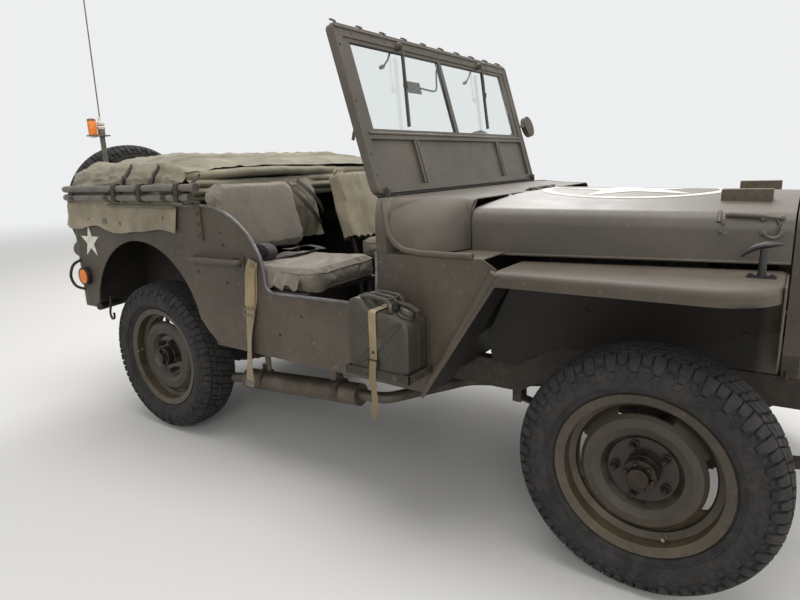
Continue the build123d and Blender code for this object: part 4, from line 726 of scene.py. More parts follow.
outOfShield = leanBack @ Vector((1, 0, 0))
alongShield = leanBack @ Vector((0, 0, 1))
hooks = Build()
for k in range(shield["hooks"]):
    y = shield["firstHook"] + k * shield["hookPitch"]
    foot, pad = onShield(-0.002, y, 0.547), onShield(0, y, 0.549)
    hooks.box(pad - Vector((0.01, 0.011, 0.002)), pad + Vector((0.008, 0.011, 0.002)))
    hooks.tube([foot + Vector((0.006, 0, 0.002)), foot + Vector((0.004, 0.001, 0.01)),
                foot + Vector((-0.008, 0.003, 0.017)), foot + Vector((-0.022, 0.006, 0.021))],
               [0.0042, 0.004, 0.0036, 0.003], 8)
hooks.piece("awningHooks", bodyPaint, "windshield", True)

rail = Build()
# turned rain lip under the top hooks and the raised edge round the frame
rail.tube([onShield(0.013, -0.622, 0.536), onShield(0.013, 0.622, 0.536)], 0.0042, 8)
for side in (-1, 1):
    rail.tube([onShield(0.012, side * 0.629, 0.012), onShield(0.012, side * 0.629, 0.533)], 0.004, 8)
    for y in (side * 0.33 - 0.009, side * 0.33 + 0.009):
        rail.tube([onShield(0.0115, y, 0.024), onShield(0.0115, y, 0.176)], 0.0036, 8)
rail.tube([onShield(0.0125, -0.595, 0.196), onShield(0.0125, 0.595, 0.196)], 0.0046, 8)
rail.piece("shieldBeads", hoodPaint, "windshield", True)

seals = Build()
for side in (-1, 1):
    low, high, near, far = 0.212, 0.495, 0.012, 0.558
    loop = [(near, low), (far, low), (far, high), (near, high), (near, low)]
    for face in (0.0035, -0.0035):
        seals.tube([onShield(face, side * y, s) for y, s in loop], 0.003, 6)
seals.piece("glassSeals", blackPlastic, "windshield", True)

wipers = Build()
blades = Build()
for y, reach in ((-0.285, 0.235), (0.335, 0.225)):
    boss = onShield(0.014, y, 0.515)
    wipers.spin([(-0.003, 0.014), (0.008, 0.013), (0.012, 0.009), (0.018, 0.008)], boss, outOfShield, 16)
    tip = onShield(0.03, y - 0.04, 0.515 - reach * 0.62)
    wipers.tube([boss + outOfShield * 0.013, onShield(0.03, y - 0.004, 0.49), onShield(0.033, y - 0.02, 0.44),
                 tip], [0.0034, 0.003, 0.0026, 0.0026], 8)
    top, bottom = onShield(0.022, y + 0.01, 0.487), onShield(0.022, y - 0.075, 0.487 - reach - 0.03)
    wipers.band([top, bottom], 0.008, 0.0035, outOfShield)
    blades.band([top - outOfShield * 0.0055, bottom - outOfShield * 0.0055], 0.0028, 0.009, outOfShield)
    wipers.box(tip - Vector((0.008, 0.006, 0.01)), tip + Vector((0.004, 0.006, 0.01)))
    # inner handle that turns the wiper by hand
    inside = onShield(-0.014, y, 0.515)
    crank = inside - outOfShield * 0.016
    end = crank + Vector((0, -0.036, -0.052))
    wipers.spin([(0, 0.01), (0.012, 0.009)], inside, -outOfShield, 14)
    wipers.tube([inside - outOfShield * 0.01, crank + Vector((0, -0.01, -0.03)), end], 0.0034, 8)
    wipers.spin([(0, 0.0065), (0.004, 0.0075), (0.02, 0.007), (0.022, 0.004)], end, (0, -1, -0.4), 12)
wipers.piece("wipers", bodyPaint, "windshield", True)
blades.piece("wiperBlades", blackPlastic, "windshield")

inner = Build()
stem = [onShield(-0.012, 0.02, 0.49), onShield(-0.02, 0.006, 0.47), onShield(-0.026, -0.012, 0.41),
        onShield(-0.028, -0.02, 0.395), onShield(-0.028, -0.045, 0.388), onShield(-0.028, -0.15, 0.394)]
inner.tube(stem, 0.0036, 8)
inner.piece("innerMirrorRod", bodyPaint, "windshield", True)
glass = Build()
spot = onShield(-0.032, -0.15, 0.394)
glass.box(spot - Vector((0.004, 0.07, 0.022)), spot + Vector((0.002, 0.02, 0.022)), leanBack, spot)
glass.piece("innerMirrorHead", bodyPaint, "windshield", False, 0.002)

clamps = Build()
for side in (-1, 1):
    # over-centre clamps that hold the frame to the cowl, and the sash's quadrant arms
    foot = onShield(-0.016, side * 0.56, 0.02)
    clamps.box(foot - Vector((0.006, 0.016, 0.016)), foot + Vector((0.006, 0.016, 0.03)), leanBack, foot)
    clamps.spin([(0, 0.009), (0.01, 0.008)], foot + alongShield * 0.01, -outOfShield, 12)
    clamps.tube([foot - outOfShield * 0.01 + alongShield * 0.01, foot - outOfShield * 0.016 + alongShield * 0.052],
                [0.0045, 0.0035], 8)
    arc = [onShield(-0.012 - 0.01 * k, side * 0.6, 0.235 - 0.01 * k * k / 4) for k in range(5)]
    clamps.band(arc, 0.011, 0.0025, (0, 1, 0))
    clamps.spin([(0, 0.008), (0.006, 0.007), (0.014, 0.006)], onShield(-0.02, side * 0.602, 0.235), (0, side, 0), 6)
    for y, slant, radius in ((0.615, 0.3, 0.005), (0.615, 0.48, 0.005), (0.612, 0.06, 0.0045), (0.612, 0.13, 0.0045)):
        clamps.rivet(onShield(0.012, side * y, slant), outOfShield, radius)
for k in range(7):
    clamps.rivet(onShield(0.0125, -0.54 + k * 0.18, 0.522), outOfShield, 0.004)
clamps.piece("shieldClamps", bodyPaint, "windshield", True)

outsideMirror = Build()
mirrorAt = onShield(0.0, 0.764, 0.262)
outsideMirror.spin([(0.0095, 0.0505), (0.0135, 0.05), (0.015, 0.0455), (0.0152, 0.0)], mirrorAt, -outOfShield, 36)
outsideMirror.piece("mirrorRim", blackPlastic, "windshield", True)
mirrorFace = Build()
mirrorFace.spin([(0.015, 0.0455), (0.0158, 0.045), (0.0159, 0.0)], mirrorAt, -outOfShield, 36)
mirrorFace.piece("mirrorFace", mirrorSilver, "windshield", True)
print("windshield fittings made")


# hood: hinge, side catch, stay clamp, footman loops, edge bead
hoodSide = {"rearX": 0.588, "rearHalf": 0.568, "frontX": 1.386, "frontHalf": 0.455, "rearBend": 0.96,
            "frontBend": 0.945, "corner": 0.044}


def hoodSkin(x, z):
    # the hood's right side: distance from the middle and the outward direction, shoulder included
    share = (x - hoodSide["rearX"]) / (hoodSide["frontX"] - hoodSide["rearX"])
    half = hoodSide["rearHalf"] + share * (hoodSide["frontHalf"] - hoodSide["rearHalf"])
    rise = z - (hoodSide["rearBend"] + share * (hoodSide["frontBend"] - hoodSide["rearBend"]))
    if rise <= 0:
        return half, Vector((0.14, -0.99, 0))
    rise = min(rise, hoodSide["corner"] * 0.98)
    level = sqrt(hoodSide["corner"] ** 2 - rise ** 2)
    return half - hoodSide["corner"] + level, Vector((0.14, -level, rise)).normalized()


hoodBits = Build()
for hand in (1, -1):
    def onHood(x, z, out=0.0):
        # a point on the hood's side, right side first, then mirrored
        half, facing = hoodSkin(x, z)
        p = Vector((x, -half, z)) + facing * out
        return Vector((p.x, p.y * -hand, p.z))

    def outOf(x, z):
        facing = hoodSkin(x, z)[1]
        return Vector((facing.x, facing.y * -hand, facing.z)).normalized()

    # round bar latch on a hinge plate at the rear, its eye held by a lug at the front
    hoodBits.tube([onHood(1.228, 0.982, 0.012), onHood(1.235, 0.982, 0.015), onHood(1.31, 0.978, 0.016)],
                  [0.006, 0.0068, 0.006], 12)
    hoodBits.tube([onHood(1.305, 0.978, 0.015), onHood(1.33, 0.976, 0.014), onHood(1.352, 0.975, 0.009)],
                  0.0036, 8)
    for x, z in ((1.357, 0.977), (1.318, 0.974)):
        hoodBits.spin([(-0.001, 0.008), (0.006, 0.007), (0.008, 0.004)], onHood(x, z), outOf(x, z), 14)
    hoodBits.band([onHood(1.348, 0.974, 0.002), onHood(1.354, 0.96, 0.004), onHood(1.35, 0.946, 0.002)],
                  0.014, 0.003, outOf(1.35, 0.96))
    hoodBits.tube([onHood(1.222, 0.99, 0.004), onHood(1.222, 0.966, 0.006)], 0.0055, 10)
    plate = [onHood(1.221, 0.938), onHood(1.243, 0.938), onHood(1.246, 0.972), onHood(1.221, 0.974)]
    hoodBits.rings([plate, [p + outOf(1.232, 0.955) * 0.004 for p in plate]])
    hoodBits.bolt(onHood(1.232, 0.944, 0.0035), outOf(1.232, 0.944), 0.011, 0.004, 8, False)
    hoodBits.bolt(onHood(1.232, 0.962, 0.0035), outOf(1.232, 0.962), 0.01, 0.006, 4, False)
    # the catch hooks over this loop
    for x in (1.324, 1.36):
        hoodBits.spin([(-0.001, 0.009), (0.003, 0.0085), (0.005, 0.004)], onHood(x, 0.941), outOf(x, 0.941), 14)
    hoodBits.tube([onHood(1.324, 0.941, 0.003), onHood(1.332, 0.934, 0.01), onHood(1.342, 0.931, 0.013),
                   onHood(1.352, 0.934, 0.01), onHood(1.36, 0.941, 0.003)], 0.0036, 8)
    # rolled hem along the skirt
    hoodBits.tube([onHood(0.59, 0.869, -0.001), onHood(1.384, 0.869, -0.001)], 0.0042, 8)
hoodBits.piece("hoodFittings", hoodPaint, "hood", True)

catches = Build()
for hand in (1, -1):
    # rubber T handle on a spring post bolted to the fender
    foot = Vector((1.333, -hand * 0.556, 0.849))
    catches.box(foot - Vector((0.03, 0.012, 0.001)), foot + Vector((0.03, 0.012, 0.004)))
    for dx in (-0.022, 0.022):
        catches.bolt(foot + Vector((dx, 0, 0.004)), (0, 0, 1), 0.01, 0.005)
    catches.tube([foot, foot + Vector((0, 0, 0.03)), foot + Vector((0, hand * 0.002, 0.064))],
                 [0.0095, 0.0085, 0.008], 14)
    # the handle is a curved claw, its rear horn long and low
    cap = foot + Vector((0, hand * 0.002, 0.066))
    horn = ((-0.046, -0.02), (-0.034, -0.008), (-0.018, 0.003), (0.002, 0.01), (0.02, 0.012), (0.038, 0.013))
    catches.tube([cap + Vector((x, 0, z)) for x, z in horn],
                 [0.0035, 0.008, 0.012, 0.0135, 0.01, 0.004], 12, 0.6, (0, 0, 1))
catches.piece("hoodCatches", blackPlastic, "root", True)
print("hood fittings made")


# body side: rolled edges, rivets, bow bracket and handle bolts, cowl shoulders
side = {"half": 0.724, "bead": 0.0058, "cowlBead": 0.0095, "samples": 60, "rows": 14}


def arcThrough(first, middle, last, steps):
    # points on the circle through three points of a plane
    (x1, z1), (x2, z2), (x3, z3) = first, middle, last
    d = 2 * (x1 * (z2 - z3) + x2 * (z3 - z1) + x3 * (z1 - z2))
    s1, s2, s3 = x1 * x1 + z1 * z1, x2 * x2 + z2 * z2, x3 * x3 + z3 * z3
    cx = (s1 * (z2 - z3) + s2 * (z3 - z1) + s3 * (z1 - z2)) / d
    cz = (s1 * (x3 - x2) + s2 * (x1 - x3) + s3 * (x2 - x1)) / d
    radius = sqrt((x1 - cx) ** 2 + (z1 - cz) ** 2)
    start, mid, end = (atan2(z - cz, x - cx) for x, z in (first, middle, last))
    sweep = (end - start) % (2 * pi)
    if (mid - start) % (2 * pi) > sweep:
        sweep -= 2 * pi
    return [(cx + radius * cos(start + sweep * k / steps), cz + radius * sin(start + sweep * k / steps))
            for k in range(steps + 1)]


def smoothRow(points, count):
    # even samples of a smooth line through a few points
    points = [Vector(p) for p in points]
    padded = [points[0] * 2 - points[1]] + points + [points[-1] * 2 - points[-2]]
    row = []
    for k in range(count):
        place = k / (count - 1) * (len(points) - 1)
        i = min(int(place), len(points) - 2)
        t = place - i
        a, b, c, d = padded[i:i + 4]
        row.append(0.5 * (2 * b + (c - a) * t + (2 * a - 5 * b + 4 * c - d) * t ** 2
                          + (3 * b - a - 3 * c + d) * t ** 3))
    return row


doorEdge = [(-1.382, 1.013), (-0.56, 1.013)] + arcThrough((-0.445, 1.013), (-0.262, 0.948), (-0.168, 0.84), 16)
doorEdge += arcThrough((-0.168, 0.84), (-0.154, 0.792), (-0.15, 0.748), 4)[1:]
doorEdge += arcThrough((-0.15, 0.748), (-0.14, 0.722), (-0.114, 0.711), 5)[1:] + [(0.295, 0.711)]
doorEdge += arcThrough((0.295, 0.711), (0.327, 0.724), (0.341, 0.757), 5)[1:] + [(0.345, 0.83), (0.345, 0.88)]

# the cowl's bead, and the lines at the foot and the top of the shoulder
shoulderFall = [(0.345, 0.676, 1.025), (0.372, 0.708, 0.996), (0.386, 0.722, 0.962), (0.397, 0.7245, 0.934),
                (0.417, 0.7245, 0.909)]
shoulderEdge = shoulderFall + [(0.445, 0.7245, 0.893), (0.5, 0.7245, 0.886), (0.584, 0.7245, 0.885)]
shoulderLow = shoulderFall + [(0.445, 0.724, 0.893), (0.485, 0.72, 0.886), (0.52, 0.702, 0.884),
                              (0.55, 0.668, 0.884), (0.573, 0.622, 0.884), (0.586, 0.574, 0.884)]
shoulderTop = [(0.325, 0.64, 1.0375), (0.345, 0.64, 1.0375), (0.365, 0.632, 1.0375), (0.385, 0.615, 1.037),
               (0.405, 0.592, 1.0362), (0.43, 0.566, 1.0348), (0.46, 0.545, 1.0332), (0.495, 0.536, 1.032),
               (0.53, 0.531, 1.0308), (0.56, 0.526, 1.0298), (0.586, 0.52, 1.0288)]
edges, trims, shoulders = Build(), Build(), Build()
for hand in (-1, 1):
    out = Vector((0, hand, 0))
    edges.tube([(x, hand * side["half"], z) for x, z in doorEdge], side["bead"], 10)
    route = [(x, hand * y, z) for x, y, z in shoulderEdge] + [(0.67, hand * side["half"], 0.885)]
    trims.tube(route, side["cowlBead"], 12)
    # the cowl's shoulder falls from its top to the bead in one sweep
    lows = smoothRow(shoulderLow, side["samples"])
    tops = smoothRow(shoulderTop, side["samples"])
    rows = []
    for k in range(side["rows"] + 1):
        share = k / side["rows"]
        aside = (1 - cos(pi / 2 * share)) * 0.75 + share * 0.25
        upward = sin(pi / 2 * share) * 0.75 + share * 0.25
        rows.append([(low.x + (high.x - low.x) * aside, hand * (low.y + (high.y - low.y) * aside),
                      low.z + (high.z - low.z) * upward) for low, high in zip(lows, tops)])
    shoulders.rings(rows, False, False)
    seam = smoothRow([(0.392, hand * 0.7155, 0.972), (0.384, hand * 0.697, 1.004), (0.36, hand * 0.65, 1.0345),
                      (0.332, hand * 0.59, 1.0385), (0.307, hand * 0.531, 1.0385)], 20)
    trims.tube(seam, 0.0016, 6)
    for x, z in ((-0.432, 0.963), (-0.368, 0.935), (-0.47, 0.76), (-0.252, 0.846), (-0.245, 0.8),
                 (-0.228, 0.7), (-0.1, 0.69), (0.07, 0.69), (0.23, 0.69), (0.33, 0.7), (0.372, 0.86),
                 (0.372, 0.8), (-0.3, 0.61), (-0.3, 0.54), (0.15, 0.48), (0.3, 0.48), (-0.15, 0.48),
                 (-0.42, 0.52)):
        trims.rivet((x, hand * side["half"], z), out, 0.0042)
    # handle bolts on their plate, and the flattened rear end of the grip
    for x in (-0.29, -0.263):
        trims.bolt((x, hand * (side["half"] + 0.0065), 0.811), out, 0.012, 0.005)
    trims.rivet((-0.532, hand * (side["half"] + 0.001), 0.79), out, 0.006)
    # bow bracket: ribbed strip and three bolts
    for x in (-0.494, -0.466):
        y = hand * (side["half"] + 0.008)
        trims.tube([(x, y, 0.888), (x, y, 1.02)], 0.0022, 6)
    for z in (0.905, 0.945, 0.985):
        trims.bolt((-0.48, hand * (side["half"] + 0.0083), z), out, 0.0125, 0.006)
edges.piece("doorEdges", wornAndHighlitBead, "root", True)
trims.piece("sideTrims", bodyPaint, "root", True)
shoulders.piece("cowlShoulders", bodyPaint, "root", True)

seal = Build()
seal.tube([(0.292, -0.63, 1.0405), (0.292, 0.63, 1.0405)], 0.0052, 8, 1.0, (0, 0, 1))
seal.piece("shieldFootSeal", sealRubber, "root", True)
print("body trims made")


# folded top: canvas bundle over the load space, skirt on the sides, straps, bow ends
bundle = {"foot": 1.0155, "half": 0.736, "rear": -1.433, "front": -0.56, "corner": 0.11,
          "straps": (-0.955, -0.775, -0.535), "stations": 150, "around": 54}
# its height over its length, and its section from the side's foot to the middle line
bundleTop = smoothRow([(-1.433, 0, 1.07), (-1.385, 0, 1.118), (-1.3, 0, 1.16), (-1.15, 0, 1.184),
                       (-0.95, 0, 1.19), (-0.76, 0, 1.186), (-0.64, 0, 1.166), (-0.56, 0, 1.138)], 40)
bundleSection = smoothRow([(1.0, 0, 0.0), (1.004, 0, 0.28), (0.996, 0, 0.5), (0.962, 0, 0.72), (0.88, 0, 0.885),
                           (0.72, 0, 0.96), (0.4, 0, 0.99), (0.0, 0, 1.0)], 44)


def topHeight(x):
    for a, b in zip(bundleTop, bundleTop[1:]):
        if x <= b.x:
            return a.z + (b.z - a.z) * max(0.0, (x - a.x) / (b.x - a.x))
    return bundleTop[-1].z


def onBundle(x, share, hand, lift=0.0):
    # share runs from 0 at the side's foot to 1 on the middle line
    place = share * (len(bundleSection) - 1)
    i = min(int(place), len(bundleSection) - 2)
    section = bundleSection[i].lerp(bundleSection[i + 1], place - i)
    ahead = (bundleSection[i + 1] - bundleSection[i])
    short = max(0.0, bundle["rear"] + bundle["corner"] - x)
    half = bundle["half"] - bundle["corner"] + sqrt(max(0.0, bundle["corner"] ** 2 - short ** 2))
    tall = topHeight(x) - bundle["foot"]
    base = Vector((x, hand * half * section.x, bundle["foot"] + tall * section.z))
    out = Vector((0, hand * ahead.z * tall, -ahead.x * half)).normalized()
    # long soft folds, gathered at each strap, broken by creases; side runs over the load, 0 in the middle
    side = hand * (1 - share)
    folds = drift(x * 2.1, side * 9.0, 3.0) * 0.012
    folds += drift(x * 7.0 + side * 6.0, side * 14.0, 5.0) * 0.0065
    ridge = abs(drift(x * 5.0 - side * 3.0, side * 11.0, 9.0))
    folds += (0.1 - min(ridge, 0.1)) * 0.075
    # layers ending across the load and along it
    layers = ((x + 1.06 + 0.06 * drift(side * 2.5, 0, 11), 0.012), (0.24 - side + 0.05 * drift(x * 3, 3, 12), 0.01),
              (side + 0.52 - 0.05 * drift(x * 4, 8, 2), 0.008), (-0.7 - x + 0.04 * drift(side * 4, 5, 1), 0.009))
    onTop = clamp((share - 0.3) * 6)
    for edge, height in layers:
        folds += height * (0.5 + 0.5 * max(-1, min(1, edge / 0.008))) * onTop
    folds -= 0.014 * onTop
    pinch = 0.0
    for station in bundle["straps"]:
        near = abs(x - station - 0.1 * share)
        pinch += max(0.0, 1 - near / 0.055) ** 1.5 * (1 - min(1, share * 1.8)) * 0.011
        folds += max(0.0, 1 - near / 0.15) * (1 - min(1, share * 1.6)) * 0.006 * sin(near * 110)
    # the slack at the rear corners sags out over the bows
    sag = 0.034 * max(0, 1 - ((x + 1.335) / 0.13) ** 2) * max(0, 1 - ((share - 0.6) / 0.26) ** 2)
    folds += sag * (1 + 0.4 * drift(x * 12, side * 8, 1))
    calm = min(1.0, share * 4.0) * 0.75 + 0.25
    return base + out * (folds * calm - pinch + lift)


canvas = Build()
loops = []
for k in range(bundle["stations"] + 1):
    x = bundle["rear"] + (bundle["front"] - bundle["rear"]) * k / bundle["stations"]
    right = [onBundle(x, k / bundle["around"], -1) for k in range(bundle["around"])]
    left = [onBundle(x, k / bundle["around"], 1) for k in range(bundle["around"] + 1)]
    loops.append(right + left[::-1])
canvas.rings(loops, False, False)
canvas.rings([[Vector((p.x, p.y * 0.995, bundle["foot"])) for p in loops[0]], loops[0]], False, False)
# the front end shows the folded layers one over another
for low, high, reach in ((0.000, 0.03, 0.02), (0.026, 0.062, 0.036), (0.058, 0.092, 0.026), (0.088, 0.128, 0.016)):
    rolls = []
    for k in range(90):
        y = -0.7 + 1.4 * k / 89
        sway = drift(y * 2.2, low * 40, 2.0) * 0.026 + drift(y * 11.0, low * 90, 7.0) * 0.007
        middle, thick = bundle["foot"] + (low + high) / 2 + sway * 0.5, (high - low) / 2
        taper = 1 - max(0, abs(y) - 0.6) * 3
        rolls.append([Vector((bundle["front"] - 0.03 + (reach + 0.03 + sway) * taper * max(0, cos(a)) ** 0.6, y,
                              middle + thick * sin(a))) for a in [(-0.5 + s / 10) * pi for s in range(11)]])
    canvas.rings(rolls, False, False)
foldedTop = canvas.piece("foldedTop", canvasCloth, "root", True, 0.0, 80)
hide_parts("top_canvas")

# skirts hang from the top along each side and round the rear corner, whose radius is bend
skirt = {"cornerX": -1.388, "cornerY": 0.644, "bend": 0.0875, "front": -0.6, "top": 1.024, "low": 0.905}
for hand, sideName in ((-1, "Right"), (1, "Left")):
    cloth = Build()
    rows = []
    for k in range(100):
        along = (skirt["front"] - skirt["cornerX"]) * (1 - k / 76) if k < 76 else 0.0
        past = max(0.0, (k - 76) / 23 * 0.225)
        bend = min(past / skirt["bend"], pi / 2)
        facing = Vector((-sin(bend), cos(bend), 0))
        foot = Vector((skirt["cornerX"] + along, skirt["cornerY"], 0)) + facing * skirt["bend"]
        foot.y -= max(0.0, past - skirt["bend"] * pi / 2)
        loose = min(1.0, past / 0.06)
        row = []
        for j in range(13):
            drop = j / 12
            hem = skirt["low"] + 0.012 * sin(k * 0.13) + drift(k * 0.08, hand, 1.0) * 0.01 + loose * 0.018
            wave = (sin(k * 0.42 + 3 * drift(k * 0.04, 0, 4.0)) * 0.5 + 0.5) * 0.007 * drop
            wave += loose * (0.006 + 0.01 * (sin(k * 0.9 + drop * 2) * 0.5 + 0.5)) * (0.4 + 0.6 * drop)
            p = foot + facing * (wave + 0.003 * drop)
            lean = 0.02 * drop * max(0, 1 - k / 6)
            row.append((p.x - lean, hand * p.y, skirt["top"] + (hem - skirt["top"]) * drop))
        rows.append(row)
    cloth.rings(rows, False, False)
    skirtPiece = cloth.piece("topSkirt" + sideName, skirtCloth, "root", True, 0.0, 80)
    thick = skirtPiece.modifiers.new("cloth", "SOLIDIFY")
    thick.thickness, thick.offset = 0.0016, 0

# a leather loop round the bows: (x from its station, y, z), then the way each point faces, (y, z)
strapLoop = ((0.000, 0.744, 1.092), (0.002, 0.75, 1.099), (0.002, 0.762, 1.1), (0.001, 0.774, 1.094),
             (0.000, 0.7775, 1.08), (-0.002, 0.7775, 1.05), (-0.004, 0.7745, 1.033), (-0.005, 0.762, 1.0275),
             (-0.005, 0.749, 1.032), (-0.004, 0.7425, 1.045), (-0.001, 0.742, 1.075), (0.002, 0.7425, 1.096))
strapFacing = ((-0.9, 0.4), (-0.5, 1), (0.1, 1), (0.7, 0.7), (1, 0.1), (1, -0.1), (0.8, -0.6), (0, -1), (-0.7, -0.7),
               (-1, 0), (-1, 0), (-1, 0))
tubeAt = {"y": 0.76, "z": 1.045}
snaps, leathers, roddings, rings = Build(), Build(), Build(), Build()
for hand in (-1, 1):
    out = Vector((0, hand, 0))
    for x, z in ((-1.000, 0.935), (-0.828, 0.925), (-0.694, 0.962), (-1.25, 0.95)):
        snaps.spin([(0, 0.0075), (0.0022, 0.007), (0.0042, 0.0035)], (x, hand * 0.7375, z), out, 14)
    # footman loop on its plate
    snaps.box((-1.13, hand * 0.7405 - 0.002, 0.93), (-1.1, hand * 0.7405 + 0.002, 0.952))
    snaps.tube([(-1.127, hand * 0.742, 0.946), (-1.122, hand * 0.75, 0.946), (-1.108, hand * 0.75, 0.946),
                (-1.103, hand * 0.742, 0.946)], 0.0022, 8)
    for station in bundle["straps"]:
        leathers.band([(station + x, hand * y, z) for x, y, z in strapLoop], 0.026, 0.003,
                      [(0, hand * y, z) for y, z in strapFacing])
        spots = [(station + 0.012 + 0.006 * k, 0.26 + 0.026 * k, hand) for k in range(9)]
        tail = [onBundle(*spot, 0.0055) for spot in spots]
        leathers.band(tail, 0.025, 0.003, [onBundle(*spot, 0.0155) - p for spot, p in zip(spots, tail)])
        rings.wire(station - 0.016, station + 0.018, hand * 0.78, 1.055, 1.077, 0.0018)
    roddings.tube([(-1.06, hand * 0.745, 1.012), (-0.59, hand * 0.748, 1.01)], 0.0048, 8)
    for x, z, reach in ((-0.474, 1.045, 0.03), (-0.438, 1.081, 0.02)):
        roddings.spin([(-reach, 0.0142), (-reach, 0.0168), (0.004, 0.0168), (0.0045, 0.0115), (-0.01, 0.011),
                       (-0.01, 0.0)], (x + 0.001, hand * tubeAt["y"], z), (1, 0, 0), 22)
    for x in (-0.62, -1.02, -1.3):
        # weld beads and a sleeve joint on the tubes
        rings.spin([(-0.016, 0.0143), (-0.015, 0.016), (0.015, 0.016), (0.016, 0.0143)],
                   (x, hand * tubeAt["y"], tubeAt["z"]), (1, 0, 0), 18)
strapsPiece = leathers.piece("leatherStraps", leather, "root", False, 0.0006)
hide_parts("bow_straps")
snaps.piece("skirtSnaps", wornSteel, "root", True)
roddings.piece("bowEnds", bowPaint, "root", True)
rings.piece("strapBuckles", greasyIron, "root", True)
print("folded top made")

# safety strap with its buckle, hung in the door opening beside the seat
hanging = Build()
route = smoothRow([(-0.196, -0.733, 0.822), (-0.206, -0.7345, 0.79), (-0.213, -0.7345, 0.74),
                   (-0.22, -0.7335, 0.69), (-0.228, -0.7345, 0.65), (-0.236, -0.7365, 0.6),
                   (-0.246, -0.7385, 0.54), (-0.253, -0.7375, 0.48), (-0.262, -0.7365, 0.42),
                   (-0.268, -0.735, 0.352)], 40)
hanging.band(route, 0.044, 0.0024, [(0.45 * sin(k * 0.16), -1, 0) for k in range(len(route))])
fold = smoothRow([(-0.205, -0.7375, 0.8), (-0.214, -0.7385, 0.76), (-0.222, -0.7375, 0.7),
                  (-0.229, -0.7385, 0.655)], 14)
hanging.band(fold, 0.043, 0.0024, (0.15, -1, 0))
strapPiece = hanging.piece("doorStrap", webCloth, "root")
metal = Build()
metal.wire(-0.257, -0.203, -0.742, 0.644, 0.62, 0.0026)
metal.spin([(0, 0.01), (0.002, 0.009), (0.002, 0.004)], (-0.196, -0.7355, 0.812), (0, -1, 0), 16)
metal.box((-0.292, -0.7385, 0.338), (-0.246, -0.7335, 0.362))
metal.piece("doorStrapBuckle", wornSteel, "root", True)
print("door strap made")


# rear corners: painted stars
def starLoops(radius, scales, splits, put):
    # rings of a five-pointed star, each scaled inwards, with its points set down by put
    reach = [radius * (1 if k % 2 == 0 else 0.382) for k in range(10)]
    ring = [(r * sin(pi * k / 5), r * cos(pi * k / 5)) for k, r in enumerate(reach)]
    loops = []
    for scale in scales:
        loop = []
        for (u0, v0), (u1, v1) in zip(ring, ring[1:] + ring[:1]):
            loop += [put((u0 + (u1 - u0) * j / splits) * scale, (v0 + (v1 - v0) * j / splits) * scale)
                     for j in range(splits)]
        loops.append(loop)
    return loops


def cornerSurface(along, hand):
    # a point just off the tub's rounded rear corner: along runs round it from where the side ends
    angle = max(0.0, min(along / cornerStar["bend"], pi / 2))
    facing = Vector((-sin(angle), hand * cos(angle), 0))
    ahead, more = max(0.0, -along), max(0.0, along - cornerStar["bend"] * pi / 2)
    foot = Vector((skirt["cornerX"] + ahead, hand * (skirt["cornerY"] - more), 0))
    return foot + facing * (cornerStar["bend"] + 0.0006 + cornerStar["paint"])


cornerStar = {"radius": 0.078, "along": -0.105, "height": 0.845, "bend": 0.08, "paint": 0.0009}
stars = Build()
for hand in (-1, 1):
    def onCorner(u, v):
        return cornerSurface(cornerStar["along"] + u, hand) + Vector((0, 0, cornerStar["height"] + v))

    stars.rings(starLoops(cornerStar["radius"], (1.0, 0.75, 0.5, 0.25, 0.02), 3, onCorner), True, False)
stars.piece("cornerStars", whitePaint, "root")
print("rear corners made")


# cushions, stuffed by a short cloth run, with welted seams
cushion = {"voxel": 0.006, "pressure": 4.0, "frames": 16, "quality": 4, "mass": 0.3, "tension": 12, "shear": 4,
           "bending": 0.4, "cap": 0.013, "welt": 0.0022, "weltPoints": 120, "weltPower": 9}


def squared(angle, power):
    # a point on a square with rounded corners, rounder for a lower power
    reach = 1 / (abs(cos(angle)) ** power + abs(sin(angle)) ** power) ** (1 / power)
    return cos(angle) * reach, sin(angle) * reach


